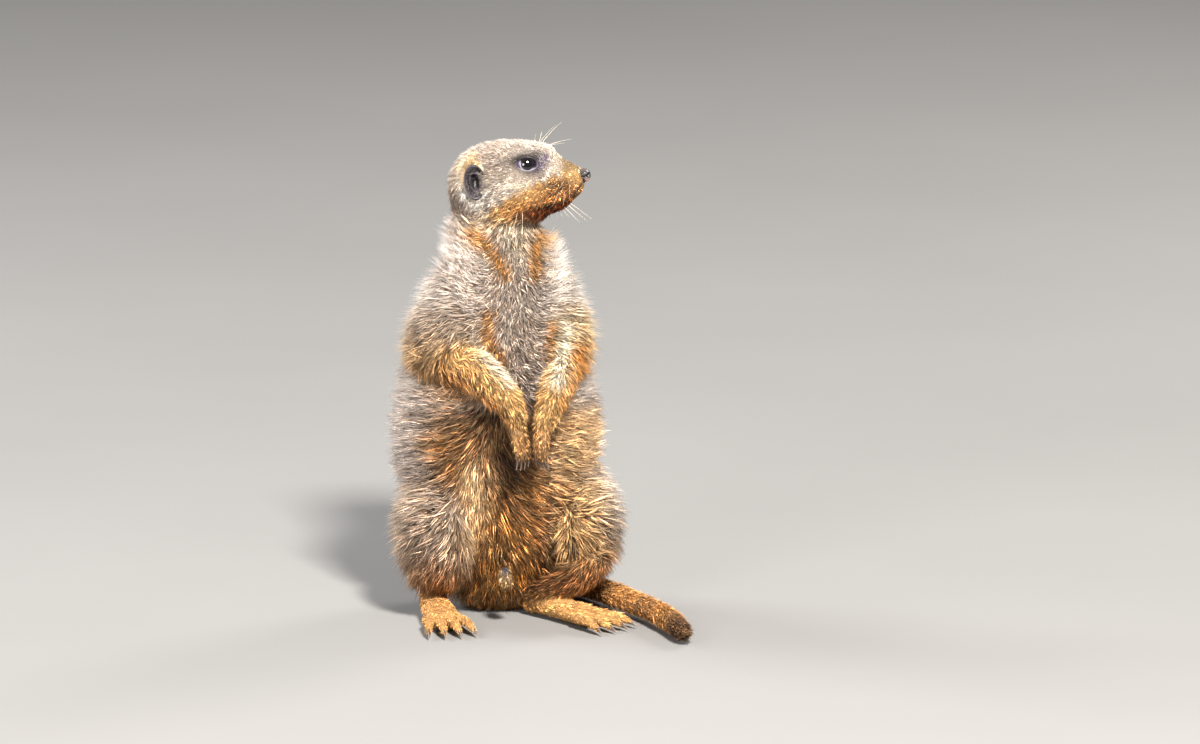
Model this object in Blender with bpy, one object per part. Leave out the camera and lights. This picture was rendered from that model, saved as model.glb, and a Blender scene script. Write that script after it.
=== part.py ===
"""A life-size still model of a meerkat sitting upright, parted at its joints.

Lengths in the tables are millimetres. X runs to the animal's left, -Y is the way its chest
faces, +Z is up, and the soles, rump and tail rest at Z = 0. Every solid is a closed loft: rings
about a smooth centreline, given by a few stations (x, y, z, side, front, back), where side is
the ring's half width and front and back are its reach along and against the reference direction.
"""

import math

import bmesh
import bpy
from mathutils import Matrix, Vector

MM = 0.001
GAP = 0.3  # clearance between neighbouring solids
DOME_ANGLES = (28, 52, 72)  # degrees at which a rounded end has its rings
UP = Vector((0, 0, 1))

# ---- Driving dimensions -------------------------------------------------------------------

TRUNK_TURN = math.radians(17)  # the chest faces this far towards the animal's left of -Y
FACING = Vector((math.sin(TRUNK_TURN), -math.cos(TRUNK_TURN), 0))

HEAD_CENTRE = Vector((0, 5, 251.5))
HEAD_TURN = math.radians(82)  # from -Y towards the animal's left
HEAD_PITCH = math.radians(10)
HEAD_ROLL = math.radians(6)

EYE_RADIUS = 6.0
EYE_PLACE = (16.8, 15.6, 12.0)  # forward, sideways, up in the head's frame
EAR_PLACE = (-11.5, 20.5, 6)
EAR_RADII = (7.5, 10.5)  # of the rim's arc, lengthwise and upright
EAR_SWEEP = math.radians(108)  # half the rim's arc, open at the front
EAR_REACH = 11.5  # from the root inside the head to the rim
EAR_WALL = 1.3  # half thickness

FINGERS = 4
CLAW_HAND = 6.5
CLAW_FOOT = 6.0

# ---- Stations ------------------------------------------------------------------------------

SPINE = [
    (-2, 27, -3, 21, 17, 19),
    (-2, 26, 13, 36, 33, 39),
    (-2, 23, 36, 44, 42, 49),
    (-3, 20, 66, 53, 46, 51),
    (-5, 19, 96, 61, 47, 48),
    (-6, 17, 126, 58.5, 45, 43),
    (-6, 14, 151, 52, 41, 39),
    (-5, 10, 176, 47, 38, 35),
    (-3, 7, 195, 42.5, 33, 31),
    (-3, 5, 209, 35, 28.5, 27),
    (-5, 4, 219, 30, 25, 24),
    (-7, 4, 231, 28, 21.5, 21.5),
    (-8, 5, 241, 22, 17, 17),
]
NECK_START = 9.0  # place along the spine's stations
# Forward, height of the centreline, half width, up, down in the head's frame.
HEAD = [
    (-27, -1, 18, 16, 16),
    (-20, -1, 23.5, 22.5, 22.5),
    (-10, -0.5, 26.5, 26, 25.5),
    (0, 0, 26.5, 26.8, 25.5),
    (10, 0, 24.5, 25.7, 25),
    (18, 0, 21.5, 24.2, 23.3),
    (24, 0, 18.8, 21.8, 21),
    (29, -1, 16, 18.8, 19),
    (33, -1.5, 13.8, 15, 15.5),
    (37, -1.8, 11.6, 12.2, 12),
    (41, -1.8, 9.8, 9.6, 9.2),
    (45, -1.8, 8.2, 7, 6.4),
]
NOSE = [(45.3, -1.8, 6.2, 5.2, 4.6), (47.6, -1.8, 5.4, 4.6, 4.2)]

UPPER_ARM_RIGHT = [
    (-30, -4, 188, 16, 15, 15),
    (-35, -13, 172, 23, 20, 18),
    (-40, -13, 156, 20, 17, 17),
]
UPPER_ARM_LEFT = [
    (25, 13, 193, 15, 15, 15),
    (32, 7, 170, 19, 18, 18),
    (36.5, 1, 152, 16, 15, 15),
]
FOREARM_RIGHT = [
    (-40, -13, 155, 13, 15, 15),
    (-22, -24, 153, 13, 14.5, 15),
    (-7.5, -33, 143, 11.5, 12, 12),
    (2.5, -40, 134, 9, 9.5, 9.5),
    (8, -45, 120.5, 6.2, 6.4, 6.4),
]
FOREARM_LEFT = [
    (37, 1, 151, 11, 12, 12),
    (33.5, -13, 147, 10.5, 11.5, 11.5),
    (29.5, -27, 139.5, 9.5, 10.5, 10.5),
    (25, -38, 129.5, 8.3, 9, 9),
    (21.6, -44, 119.5, 6.2, 6.4, 6.4),
]
HAND_RIGHT = [(8.4, -45.8, 117, 5.8, 4.6, 4.6), (9.4, -46.6, 110.5, 5.8, 4.2, 4.2)]
HAND_LEFT = [(21.4, -44.8, 117, 5.8, 4.6, 4.6), (21.2, -46, 110.5, 5.8, 4.2, 4.2)]
HAND_FAN_RIGHT = Vector((0.62, 0.78, 0))  # along each row of fingers
HAND_FAN_LEFT = Vector((0.62, -0.78, 0))
FINGER_RADIUS = 1.8
TOE_RADIUS = 3.4

THIGH_RIGHT = [
    (-26, 46, 56, 22, 33, 42),
    (-33, 22, 57, 28, 37, 46),
    (-37, -4, 54, 29, 36, 45),
    (-38, -24, 50, 24, 29, 36),
]
THIGH_LEFT = [
    (18, 52, 54, 21, 33, 36),
    (32, 36, 56, 26, 37, 39),
    (43, 12, 54, 26, 36, 36),
    (47, -10, 49, 21, 28, 28),
]
SHANK_RIGHT = [(-38, -18, 38, 12, 13, 13), (-40, -6, 23, 11, 11, 11), (-41, 2, 12, 9.5, 10, 9)]
SHANK_LEFT = [
    (53, -16, 35, 11, 11, 11),
    (42, -15, 25.5, 11.5, 11.5, 11.5),
    (28, -8, 17.5, 10.5, 10.5, 10.5),
    (16, 0, 12, 9, 9.5, 9),
]
FOOT_RIGHT = [
    (-42, 8, 8.5, 8, 7.5, 10.2),
    (-40, -10, 8.5, 9.5, 7.5, 10.2),
    (-37, -28, 7, 11.5, 6.5, 8.5),
    (-34, -42, 5.5, 12.5, 5.5, 6.8),
]
FOOT_LEFT = [
    (15, 3, 8.5, 8, 7.5, 10.2),
    (28, -9.5, 8.5, 9.5, 7.5, 10.2),
    (41, -22, 7, 11.5, 6.5, 8.5),
    (50.5, -31.5, 5.5, 12.5, 5.5, 6.8),
]
TAIL = [
    (0, 56, 25, 13, 12, 12),
    (18, 64, 13.5, 12, 11.5, 11.5),
    (37, 53, 9.6, 10.8, 10.4, 11.4),
    (52, 31, 9, 9.8, 9.6, 10.8),
    (67, 6, 9, 9.4, 9.2, 10.8),
    (82, -19, 8.5, 9, 8.8, 10.2),
    (94, -46, 8.5, 8.8, 8.4, 10.2),
    (102, -74, 7.5, 7.2, 7, 8.9),
]
TAIL_SPLITS = (2.0, 4.5)  # places along the stations where one length ends and the next starts
GROIN = [(0, -27, 34, 8, 8, 10), (1, -30, 24, 9.5, 8, 10)]

MATERIALS = {  # base colour, roughness
    "fur_head": ((0.62, 0.53, 0.42), 0.85),
    "fur_body": ((0.42, 0.33, 0.24), 0.9),
    "fur_limb": ((0.60, 0.38, 0.16), 0.9),
    "fur_tail": ((0.50, 0.27, 0.10), 0.9),
    "ear_skin": ((0.10, 0.08, 0.09), 0.7),
    "nose_skin": ((0.16, 0.10, 0.10), 0.35),
    "eye": ((0.02, 0.015, 0.012), 0.05),
    "claw": ((0.09, 0.07, 0.06), 0.4),
}


# ---- Tools ----------------------------------------------------------------------------------


def material(name):
    """The named Principled material, made once."""
    if name not in bpy.data.materials:
        made = bpy.data.materials.new(name)
        made.use_nodes = True
        shader = made.node_tree.nodes["Principled BSDF"]
        colour, roughness = MATERIALS[name]
        shader.inputs["Base Color"].default_value = (*colour, 1)
        shader.inputs["Roughness"].default_value = roughness
        shader.inputs["Metallic"].default_value = 0.0
    return bpy.data.materials[name]


def at(stations, place):
    """The station at a fractional place along a Catmull-Rom curve through them all."""
    last = len(stations) - 1
    first = min(int(place), last - 1)
    t = place - first
    p = [stations[min(max(first + k, 0), last)] for k in (-1, 0, 1, 2)]
    return [
        0.5 * (2 * b + (c - a) * t + (2 * a - 5 * b + 4 * c - d) * t**2 + (3 * b - a - 3 * c + d) * t**3)
        for a, b, c, d in zip(*p)
    ]


def frame_at(stations, place, reference):
    """Centre, side, front and tangent of the ring at a place."""
    step = 0.02
    low, high = max(place - step, 0), min(place + step, len(stations) - 1)
    tangent = (Vector(at(stations, high)[:3]) - Vector(at(stations, low)[:3])).normalized()
    front = (reference - reference.dot(tangent) * tangent).normalized()
    return Vector(at(stations, place)[:3]), front.cross(tangent), front, tangent


def ring(centre, side, front, half, reach, behind, segments, power):
    """Points round a superellipse whose front and back reach differently."""
    points = []
    for k in range(segments):
        angle = math.tau * k / segments
        c, s = math.cos(angle), math.sin(angle)
        across = math.copysign(abs(c) ** (2 / power), c) * half
        along = math.copysign(abs(s) ** (2 / power), s) * (reach if s > 0 else behind)
        points.append(centre + side * across + front * along)
    return points


def loft_rings(stations, reference, segments, rings, start, end, domes, grow, power):
    """The rings of a loft between two places, with a rounded end where its dome is over 0."""
    made = []
    for k in range(rings + 1):
        place = start + (end - start) * k / rings
        centre, side, front, tangent = frame_at(stations, place, reference)
        half, reach, behind = (v + grow for v in at(stations, place)[3:6])
        made.append((centre, side, front, tangent, half, reach, behind))
    shift = {0: -grow, len(made) - 1: grow}
    whole = []
    for k, (centre, side, front, tangent, *sizes) in enumerate(made):
        here = centre + tangent * shift.get(k, 0)
        whole.append(ring(here, side, front, *sizes, segments, power))
    for which, sign in ((0, -1), (-1, 1)):
        if not domes[which]:
            continue
        centre, side, front, tangent, *sizes = made[which]
        centre = centre + tangent * sign * grow
        cap = []
        for degrees in DOME_ANGLES:
            angle = math.radians(degrees)
            away = tangent * sign * (domes[which]) * math.sin(angle)
            smaller = [v * math.cos(angle) for v in sizes]
            cap.append(ring(centre + away, side, front, *smaller, segments, power))
        whole = whole + cap if sign > 0 else cap[::-1] + whole
    return whole


def solid(name, rings, finish, floor=True):
    """A closed object through the rings. Points under the floor are pressed flat on to it."""
    shape = bmesh.new()
    loops = []
    for points in rings:
        loops.append(
            [shape.verts.new(Vector((p.x, p.y, max(p.z, 0) if floor else p.z)) * MM) for p in points]
        )
    count = len(loops[0])
    for low, high in zip(loops, loops[1:]):
        for k in range(count):
            shape.faces.new((low[k], low[(k + 1) % count], high[(k + 1) % count], high[k]))
    for loop in (loops[0][::-1], loops[-1]):
        if floor and all(v.co.z == 0 for v in loop):
            shape.faces.new(loop)
            continue
        middle = shape.verts.new(sum((v.co for v in loop), Vector()) / count)
        for k in range(count):
            shape.faces.new((loop[k], loop[(k + 1) % count], middle))
    bmesh.ops.recalc_face_normals(shape, faces=shape.faces)
    mesh = bpy.data.meshes.new(name)
    shape.to_mesh(mesh)
    shape.free()
    mesh.shade_smooth()
    mesh.set_sharp_from_angle(angle=math.radians(50))
    mesh.materials.append(material(finish))
    made = bpy.data.objects.new(name, mesh)
    bpy.context.scene.collection.objects.link(made)
    made.parent = ROOT
    return made


def loft(
    name, stations, finish, reference=UP, segments=16, rings=8,
    span=None, domes=(0, 0), grow=0.0, power=2.0, floor=True,
):
    start, end = span or (0, len(stations) - 1)
    made = loft_rings(stations, reference, segments, rings, start, end, domes, grow, power)
    return solid(name, made, finish, floor)


def as_tool(tool):
    """Marks an object as a guide for Booleans, which the model leaves out."""
    tool.hide_render = True
    tool.display_type = "WIRE"
    return tool


def combine(target, tool, operation):
    step = target.modifiers.new(f"{operation.lower()}_{tool.name}", "BOOLEAN")
    step.operation = operation
    step.solver = "EXACT"
    step.object = as_tool(tool)


def carve(target, *tools):
    for tool in tools:
        combine(target, tool, "DIFFERENCE")


def join(target, *tools):
    for tool in tools:
        combine(target, tool, "UNION")


# ---- Head -----------------------------------------------------------------------------------


def head_frame():
    """Forward, sideways (towards the animal's right) and up of the head."""
    turn = Matrix.Rotation(HEAD_TURN, 3, "Z") @ Matrix.Rotation(-HEAD_PITCH, 3, "X")
    turn = turn @ Matrix.Rotation(HEAD_ROLL, 3, "Y")
    return turn @ Vector((0, -1, 0)), turn @ Vector((-1, 0, 0)), turn @ UP


FORWARD, SIDEWAYS, HEAD_UP = head_frame()


def in_head(forward, sideways, up):
    return HEAD_CENTRE + FORWARD * forward + SIDEWAYS * sideways + HEAD_UP * up


def head_stations(table):
    return [(*in_head(s, 0, t), half, up, down) for s, t, half, up, down in table]


def make_head():
    shape = dict(reference=HEAD_UP, segments=22, rings=13, domes=(5.5, 0), power=2.15)
    head = loft("head", head_stations(HEAD), "fur_head", **shape)
    loft("nose", head_stations(NOSE), "nose_skin", HEAD_UP, 12, 2, domes=(0, 2.2), power=2.3)
    skull = loft("tool_skull", head_stations(HEAD), "fur_head", grow=GAP, **shape)
    for name, sign in (("right", 1), ("left", -1)):
        forward, sideways, up = EYE_PLACE
        centre = in_head(forward, sideways * sign, up)
        ball("eye_" + name, centre, EYE_RADIUS, "eye")
        carve(head, ball("tool_socket_" + name, centre, EYE_RADIUS + GAP, "eye"))
        carve(make_ear(name, sign), skull)
    return skull


def ball(name, centre, radius, finish):
    shape = bmesh.new()
    bmesh.ops.create_uvsphere(shape, u_segments=12, v_segments=8, radius=radius * MM)
    mesh = bpy.data.meshes.new(name)
    shape.to_mesh(mesh)
    shape.free()
    mesh.shade_smooth()
    mesh.materials.append(material(finish))
    made = bpy.data.objects.new(name, mesh)
    bpy.context.scene.collection.objects.link(made)
    made.location = centre * MM
    made.parent = ROOT
    return made


def make_ear(name, sign):
    """A crescent wall round the ear's hollow, tallest at its back and open at the front."""
    steps, around = 11, 8
    rings = []
    for k in range(steps + 1):
        angle = EAR_SWEEP * (2 * k / steps - 1)
        back, rise = -math.cos(angle) * EAR_RADII[0], math.sin(angle) * EAR_RADII[1]
        reach = EAR_REACH * (0.45 + 0.55 * math.cos(angle / 1.35))
        lean = Vector((back, rise)) * 0.16
        root = in_head(EAR_PLACE[0] + back, (EAR_PLACE[1] - 2) * sign, EAR_PLACE[2] + rise)
        tip = in_head(
            EAR_PLACE[0] + back + lean.x,
            (EAR_PLACE[1] - 2 + reach) * sign,
            EAR_PLACE[2] + rise + lean.y,
        )
        out = (tip - root).normalized()
        spread = (FORWARD * -math.cos(angle) + HEAD_UP * math.sin(angle)).normalized()
        middle = (root + tip) / 2
        rings.append(ring(middle, out, spread, reach / 2, EAR_WALL, EAR_WALL, around, 3))
    return solid("ear_" + name, rings, "ear_skin")


# ---- Limbs ----------------------------------------------------------------------------------


def digits(limb, palm, fan, reach, splay, radius, claw_length, finish, reference, droop):
    """Four digits that start in the palm and end in a claw each; the palm is joined to them."""
    row = palm[-1][3] - radius * 0.8
    end = Vector(palm[-1][:3])
    along = (end - Vector(palm[-2][:3])).normalized()
    for k in range(FINGERS):
        across = (k - (FINGERS - 1) / 2) / ((FINGERS - 1) / 2)  # -1 to 1 over the row
        longer = 1 - 0.16 * abs(across)
        way = (along + fan * across * splay + droop).normalized()
        root = end + fan * across * row
        tip = root + way * reach * longer
        bend = (root + tip) / 2 + reference * radius * 0.35
        points = [
            (*(root - along * radius), radius, radius, radius),
            (*bend, radius, radius, radius),
            (*tip, radius * 0.72, radius * 0.72, radius * 0.72),
        ]
        digit = loft(f"tool_digit_{limb}_{k}", points, finish, reference, 6, 3, domes=(radius, 0))
        join(bpy.data.objects[limb], digit)
        make_claw(f"claw_{limb}_{k + 1}", tip, way, claw_length, radius * 0.42, reference)


def make_claw(name, tip, way, length, radius, reference):
    """A horn that starts just past the digit's end and curves down to a blunt point."""
    start = tip + way * GAP
    points = [
        (*start, radius, radius * 1.25, radius * 1.25),
        (*(start + way * length * 0.55 - reference * length * 0.06), radius * 0.8, radius, radius),
        (*(start + way * length - reference * length * 0.24), 0.3, 0.35, 0.35),
    ]
    loft(name, points, "claw", reference, 5, 3)


def make_arm(side, upper_arm, forearm, hand, fan, torso):
    upper_shape = dict(reference=FACING, segments=14, rings=5, domes=(11, 14))
    upper = loft("upper_arm_" + side, upper_arm, "fur_body", **upper_shape)
    tool = loft("tool_upper_arm_" + side, upper_arm, "fur_body", grow=GAP, **upper_shape)
    carve(upper, torso)
    lower_shape = dict(reference=UP, segments=12, rings=9, domes=(9, 0))
    lower = loft("forearm_" + side, forearm, "fur_limb", **lower_shape)
    wrist = loft("tool_forearm_" + side, forearm, "fur_limb", grow=GAP, **lower_shape)
    carve(lower, tool, torso)
    name = "hand_" + side
    back = fan.cross(UP).normalized()
    palm = loft(name, hand, "fur_limb", back, 12, 2, domes=(0, 3))
    carve(palm, wrist)
    digits(name, hand, fan, 8.5, 0.08, FINGER_RADIUS, CLAW_HAND, "fur_limb", back, Vector())


def make_leg(side, thigh, shank, foot, fan, torso):
    upper = loft("thigh_" + side, thigh, "fur_body", segments=18, rings=6, domes=(12, 13))
    shank_shape = dict(segments=12, rings=4, domes=(9, 5))
    lower = loft("shank_" + side, shank, "fur_limb", **shank_shape)
    shin = loft("tool_shank_" + side, shank, "fur_limb", grow=GAP, floor=False, **shank_shape)
    foot_shape = dict(segments=12, rings=4, domes=(6, 5))
    name = "foot_" + side
    whole = loft(name, foot, "fur_limb", **foot_shape)
    sole = loft("tool_foot_" + side, foot, "fur_limb", grow=GAP, floor=False, **foot_shape)
    carve(upper, torso, shin, sole)
    carve(lower, torso, sole)
    carve(whole, torso)
    digits(name, foot, fan, 19, 0.2, TOE_RADIUS, CLAW_FOOT, "fur_limb", UP, Vector((0, 0, 0.02)))


# ---- Whole body -------------------------------------------------------------------------------


def make_tail(torso):
    ends = (0, *TAIL_SPLITS, len(TAIL) - 1)
    names = ("tail_base", "tail_middle", "tail_end")
    for k, name in enumerate(names):
        trim = GAP / 56  # a station is about 28 mm from the next: half the gap on each side
        span = (ends[k] + (trim if k else 0), ends[k + 1] - (trim if k < 2 else 0))
        domes = (9 if k == 0 else 0, 7 if k == 2 else 0)
        loft(name, TAIL, "fur_tail", UP, 12, 5, span=span, domes=domes)
    carve(bpy.data.objects["tail_base"], torso)
    tool = loft("tool_tail", TAIL, "fur_tail", UP, 12, 11, span=(0, 4.5), domes=(9, 0), grow=GAP)
    carve(bpy.data.objects["thigh_left"], tool)


def make_body():
    skull = make_head()
    trim = GAP / 24  # half the gap, where stations are about 12 mm apart
    trunk_span, neck_span = (0, NECK_START - trim), (NECK_START + trim, len(SPINE) - 1)
    spine = dict(reference=FACING, segments=26, power=2.1)
    core = dict(rings=14, span=trunk_span, **spine)
    trunk = loft("trunk", SPINE, "fur_body", **core)
    torso = loft("tool_trunk", SPINE, "fur_body", grow=GAP, floor=False, **core)
    neck = loft("neck", SPINE, "fur_body", rings=4, span=neck_span, domes=(0, 6), **spine)
    carve(neck, skull)
    join(trunk, loft("tool_groin", GROIN, "fur_limb", FACING, 10, 3, domes=(6, 7)))

    make_arm("right", UPPER_ARM_RIGHT, FOREARM_RIGHT, HAND_RIGHT, HAND_FAN_RIGHT, torso)
    make_arm("left", UPPER_ARM_LEFT, FOREARM_LEFT, HAND_LEFT, HAND_FAN_LEFT, torso)
    make_leg("right", THIGH_RIGHT, SHANK_RIGHT, FOOT_RIGHT, fan_of(FOOT_RIGHT), torso)
    make_leg("left", THIGH_LEFT, SHANK_LEFT, FOOT_LEFT, fan_of(FOOT_LEFT), torso)
    make_tail(torso)


def fan_of(foot):
    """Level, and square to the foot's last stretch."""
    along = Vector(foot[-1][:3]) - Vector(foot[-2][:3])
    return UP.cross(along).normalized()


def stand_on_origin():
    """Moves the whole so that its origin is under the middle of its box, at the floor."""
    bpy.context.view_layer.update()
    graph = bpy.context.evaluated_depsgraph_get()
    corners = [
        shown.evaluated_get(graph).matrix_world @ v.co
        for shown in bpy.data.objects
        if shown.type == "MESH" and not shown.hide_render
        for v in shown.evaluated_get(graph).data.vertices
    ]
    low = Vector([min(c[axis] for c in corners) for axis in range(3)])
    high = Vector([max(c[axis] for c in corners) for axis in range(3)])
    ROOT.location = -Vector(((low.x + high.x) / 2, (low.y + high.y) / 2, low.z))


for old in list(bpy.data.objects):
    bpy.data.objects.remove(old)
ROOT = bpy.data.objects.new("body_origin", None)
bpy.context.scene.collection.objects.link(ROOT)
make_body()
stand_on_origin()
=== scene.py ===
"""The looks of a life-size meerkat sitting upright: skin, coat, eyes, ears, nose, claws, whiskers.

The tables are in millimetres in the body's own frame: X to the animal's left, -Y the way its chest
faces, +Z up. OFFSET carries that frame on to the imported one, from where the right eye's ball is.
The skin is closed lofts, drawn in by the depth of the coat, made one by a voxel remesh. The coat is
solid three-sided tufts rooted in it, which follow the lie of the hair.
"""

import math

import bmesh
import bpy
import numpy as np
from mathutils import Matrix, Vector, kdtree


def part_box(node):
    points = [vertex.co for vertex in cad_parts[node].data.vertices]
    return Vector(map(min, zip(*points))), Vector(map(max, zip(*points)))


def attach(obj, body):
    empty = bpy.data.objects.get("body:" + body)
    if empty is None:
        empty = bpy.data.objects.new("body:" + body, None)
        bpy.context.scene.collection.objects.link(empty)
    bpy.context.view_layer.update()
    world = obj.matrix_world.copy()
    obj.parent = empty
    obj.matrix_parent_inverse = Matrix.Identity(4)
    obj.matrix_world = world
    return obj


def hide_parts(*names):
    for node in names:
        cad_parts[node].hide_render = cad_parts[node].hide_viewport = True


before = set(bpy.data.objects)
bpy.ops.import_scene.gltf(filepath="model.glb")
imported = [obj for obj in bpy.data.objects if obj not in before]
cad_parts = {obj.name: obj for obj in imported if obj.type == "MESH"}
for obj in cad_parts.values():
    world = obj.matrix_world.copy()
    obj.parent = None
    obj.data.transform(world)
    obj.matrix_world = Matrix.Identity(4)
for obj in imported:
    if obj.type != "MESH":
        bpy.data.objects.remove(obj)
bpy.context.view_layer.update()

MM = 0.001
UP = Vector((0, 0, 1))
FLOOR_CLEAR = 0.35  # the lowest that any hair or skin reaches, mm

# ---- The body's forms, in millimetres ------------------------------------------------

TRUNK_TURN = math.radians(17)
FACING = Vector((math.sin(TRUNK_TURN), -math.cos(TRUNK_TURN), 0))
HEAD_CENTRE = Vector((0, 5, 251.5))
HEAD_TURN = math.radians(82)
HEAD_PITCH = math.radians(10)
HEAD_ROLL = math.radians(6)
EYE_BALL = (16.8, 15.6, 12.0)  # the CAD ball's centre: forward, sideways, up in the head
EAR_PLACE = (-13.2, 22.6, 5.8)

# Stations: x, y, z, half width, reach in front, reach behind.
SPINE = [
    (-2, 27, 2, 27, 22, 24),
    (-2, 26, 13, 36, 33, 39),
    (-2, 23, 36, 44, 42, 49),
    (-3, 20, 66, 53, 46, 51),
    (-5, 19, 96, 61, 47, 48),
    (-6, 17, 126, 58.5, 45, 43),
    (-6, 14, 151, 52, 41, 39),
    (-5, 10, 176, 47, 38, 35),
    (-3, 7, 195, 42.5, 33, 31),
    (-3, 5, 209, 35, 28.5, 27),
    (-5, 4, 219, 30, 25, 24),
    (-7, 4, 231, 28, 21.5, 21.5),
    (-8, 5, 241, 22, 17, 17),
]
# Forward, height of the centreline, half width, up, down in the head's frame.
HEAD = [
    (-27, -1, 18, 16, 16),
    (-20, -1, 23.5, 22.5, 22.5),
    (-10, -0.5, 26.5, 26, 25.5),
    (0, 0, 26.5, 26.8, 25.5),
    (10, 0, 24.5, 25.7, 25),
    (18, 0, 21.5, 24.2, 23.3),
    (24, 0, 18.8, 21.8, 21),
    (29, -1, 16, 18.8, 19),
    (33, -1.5, 13.8, 15, 15.5),
    (37, -1.8, 11.6, 12.2, 12),
    (41, -1.8, 9.8, 9.6, 9.2),
    (45, -1.8, 8.2, 7, 6.4),
]
UPPER_ARM_RIGHT = [
    (-30, -4, 188, 16, 15, 15),
    (-35, -13, 172, 23, 20, 18),
    (-40, -13, 156, 20, 17, 17),
]
UPPER_ARM_LEFT = [
    (25, 13, 193, 15, 15, 15),
    (32, 7, 170, 19, 18, 18),
    (36.5, 1, 152, 16, 15, 15),
]
FOREARM_RIGHT = [
    (-40, -13, 155, 13, 15, 15),
    (-22, -24, 153, 13, 14.5, 15),
    (-7.5, -33, 143, 11.5, 12, 12),
    (2.5, -40, 134, 9, 9.5, 9.5),
    (8, -45, 120.5, 6.2, 6.4, 6.4),
]
FOREARM_LEFT = [
    (37, 1, 151, 11, 12, 12),
    (33.5, -13, 147, 10.5, 11.5, 11.5),
    (29.5, -27, 139.5, 9.5, 10.5, 10.5),
    (25, -38, 129.5, 8.3, 9, 9),
    (21.6, -44, 119.5, 6.2, 6.4, 6.4),
]
HAND_RIGHT = [(8.4, -45.8, 117, 5.8, 4.6, 4.6), (9.4, -46.6, 110.5, 5.8, 4.2, 4.2)]
HAND_LEFT = [(21.4, -44.8, 117, 5.8, 4.6, 4.6), (21.2, -46, 110.5, 5.8, 4.2, 4.2)]
HAND_FAN_RIGHT = Vector((0.62, 0.78, 0))
HAND_FAN_LEFT = Vector((0.62, -0.78, 0))
THIGH_RIGHT = [
    (-26, 46, 56, 22, 33, 42),
    (-33, 22, 57, 28, 37, 46),
    (-37, -4, 54, 29, 36, 45),
    (-38, -24, 50, 24, 29, 36),
]
THIGH_LEFT = [
    (18, 52, 54, 21, 33, 36),
    (32, 36, 56, 26, 37, 39),
    (43, 12, 54, 26, 36, 36),
    (47, -10, 49, 21, 28, 28),
]
SHANK_RIGHT = [(-38, -18, 38, 12, 13, 13), (-40, -6, 23, 11, 11, 11), (-41, 2, 12, 9.5, 10, 9)]
SHANK_LEFT = [
    (53, -16, 35, 11, 11, 11),
    (42, -15, 25.5, 11.5, 11.5, 11.5),
    (28, -8, 17.5, 10.5, 10.5, 10.5),
    (16, 0, 12, 9, 9.5, 9),
]
FOOT_RIGHT = [
    (-42, 8, 8.5, 8, 7.5, 9),
    (-40, -10, 8.5, 9.5, 7.5, 9),
    (-37, -28, 7, 11.5, 6.5, 8),
    (-34, -42, 5.5, 12.5, 5.5, 6.5),
]
FOOT_LEFT = [
    (15, 3, 8.5, 8, 7.5, 9),
    (28, -9.5, 8.5, 9.5, 7.5, 9),
    (41, -22, 7, 11.5, 6.5, 8),
    (50.5, -31.5, 5.5, 12.5, 5.5, 6.5),
]
TAIL = [
    (0, 56, 25, 13, 12, 12),
    (18, 64, 13.5, 12, 11.5, 11.5),
    (37, 53, 9.6, 10.8, 10.4, 10.4),
    (52, 31, 9, 9.8, 9.6, 9.6),
    (67, 6, 9, 9.4, 9.2, 9.2),
    (82, -19, 8.5, 9, 8.8, 8.8),
    (94, -46, 8.5, 8.8, 8.4, 8.8),
    (102, -74, 7.5, 7.2, 7, 7.8),
]
GROIN = [(0, -27, 34, 8, 8, 10), (1, -30, 24, 9.5, 8, 10)]

FINGERS = 4
FINGER = dict(reach=8.5, splay=0.08, radius=1.8, claw=6.5)
TOE = dict(reach=19, splay=0.2, radius=3.4, claw=6.0)
TOE_LIFT = Vector((0, 0, 0.02))

# ---- Curves and lofts ----------------------------------------------------------------


def at(stations, place):
    """The station at a fractional place along a Catmull-Rom curve through them all."""
    last = len(stations) - 1
    first = min(int(place), last - 1)
    t = place - first
    p = [stations[min(max(first + k, 0), last)] for k in (-1, 0, 1, 2)]
    return [
        0.5 * (2 * b + (c - a) * t + (2 * a - 5 * b + 4 * c - d) * t**2
               + (3 * b - a - 3 * c + d) * t**3)
        for a, b, c, d in zip(*p)
    ]


def frame_at(stations, place, reference):
    """Centre, side, front and tangent of the ring at a place."""
    step = 0.02
    low, high = max(place - step, 0), min(place + step, len(stations) - 1)
    tangent = (Vector(at(stations, high)[:3]) - Vector(at(stations, low)[:3])).normalized()
    front = (reference - reference.dot(tangent) * tangent).normalized()
    return Vector(at(stations, place)[:3]), front.cross(tangent), front, tangent


def ring(centre, side, front, half, reach, behind, segments, power):
    """Points round a superellipse whose front and back reach differently."""
    points = []
    for k in range(segments):
        angle = math.tau * k / segments
        c, s = math.cos(angle), math.sin(angle)
        across = math.copysign(abs(c) ** (2 / power), c) * half
        along = math.copysign(abs(s) ** (2 / power), s) * (reach if s > 0 else behind)
        points.append(centre + side * across + front * along)
    return points


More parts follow.
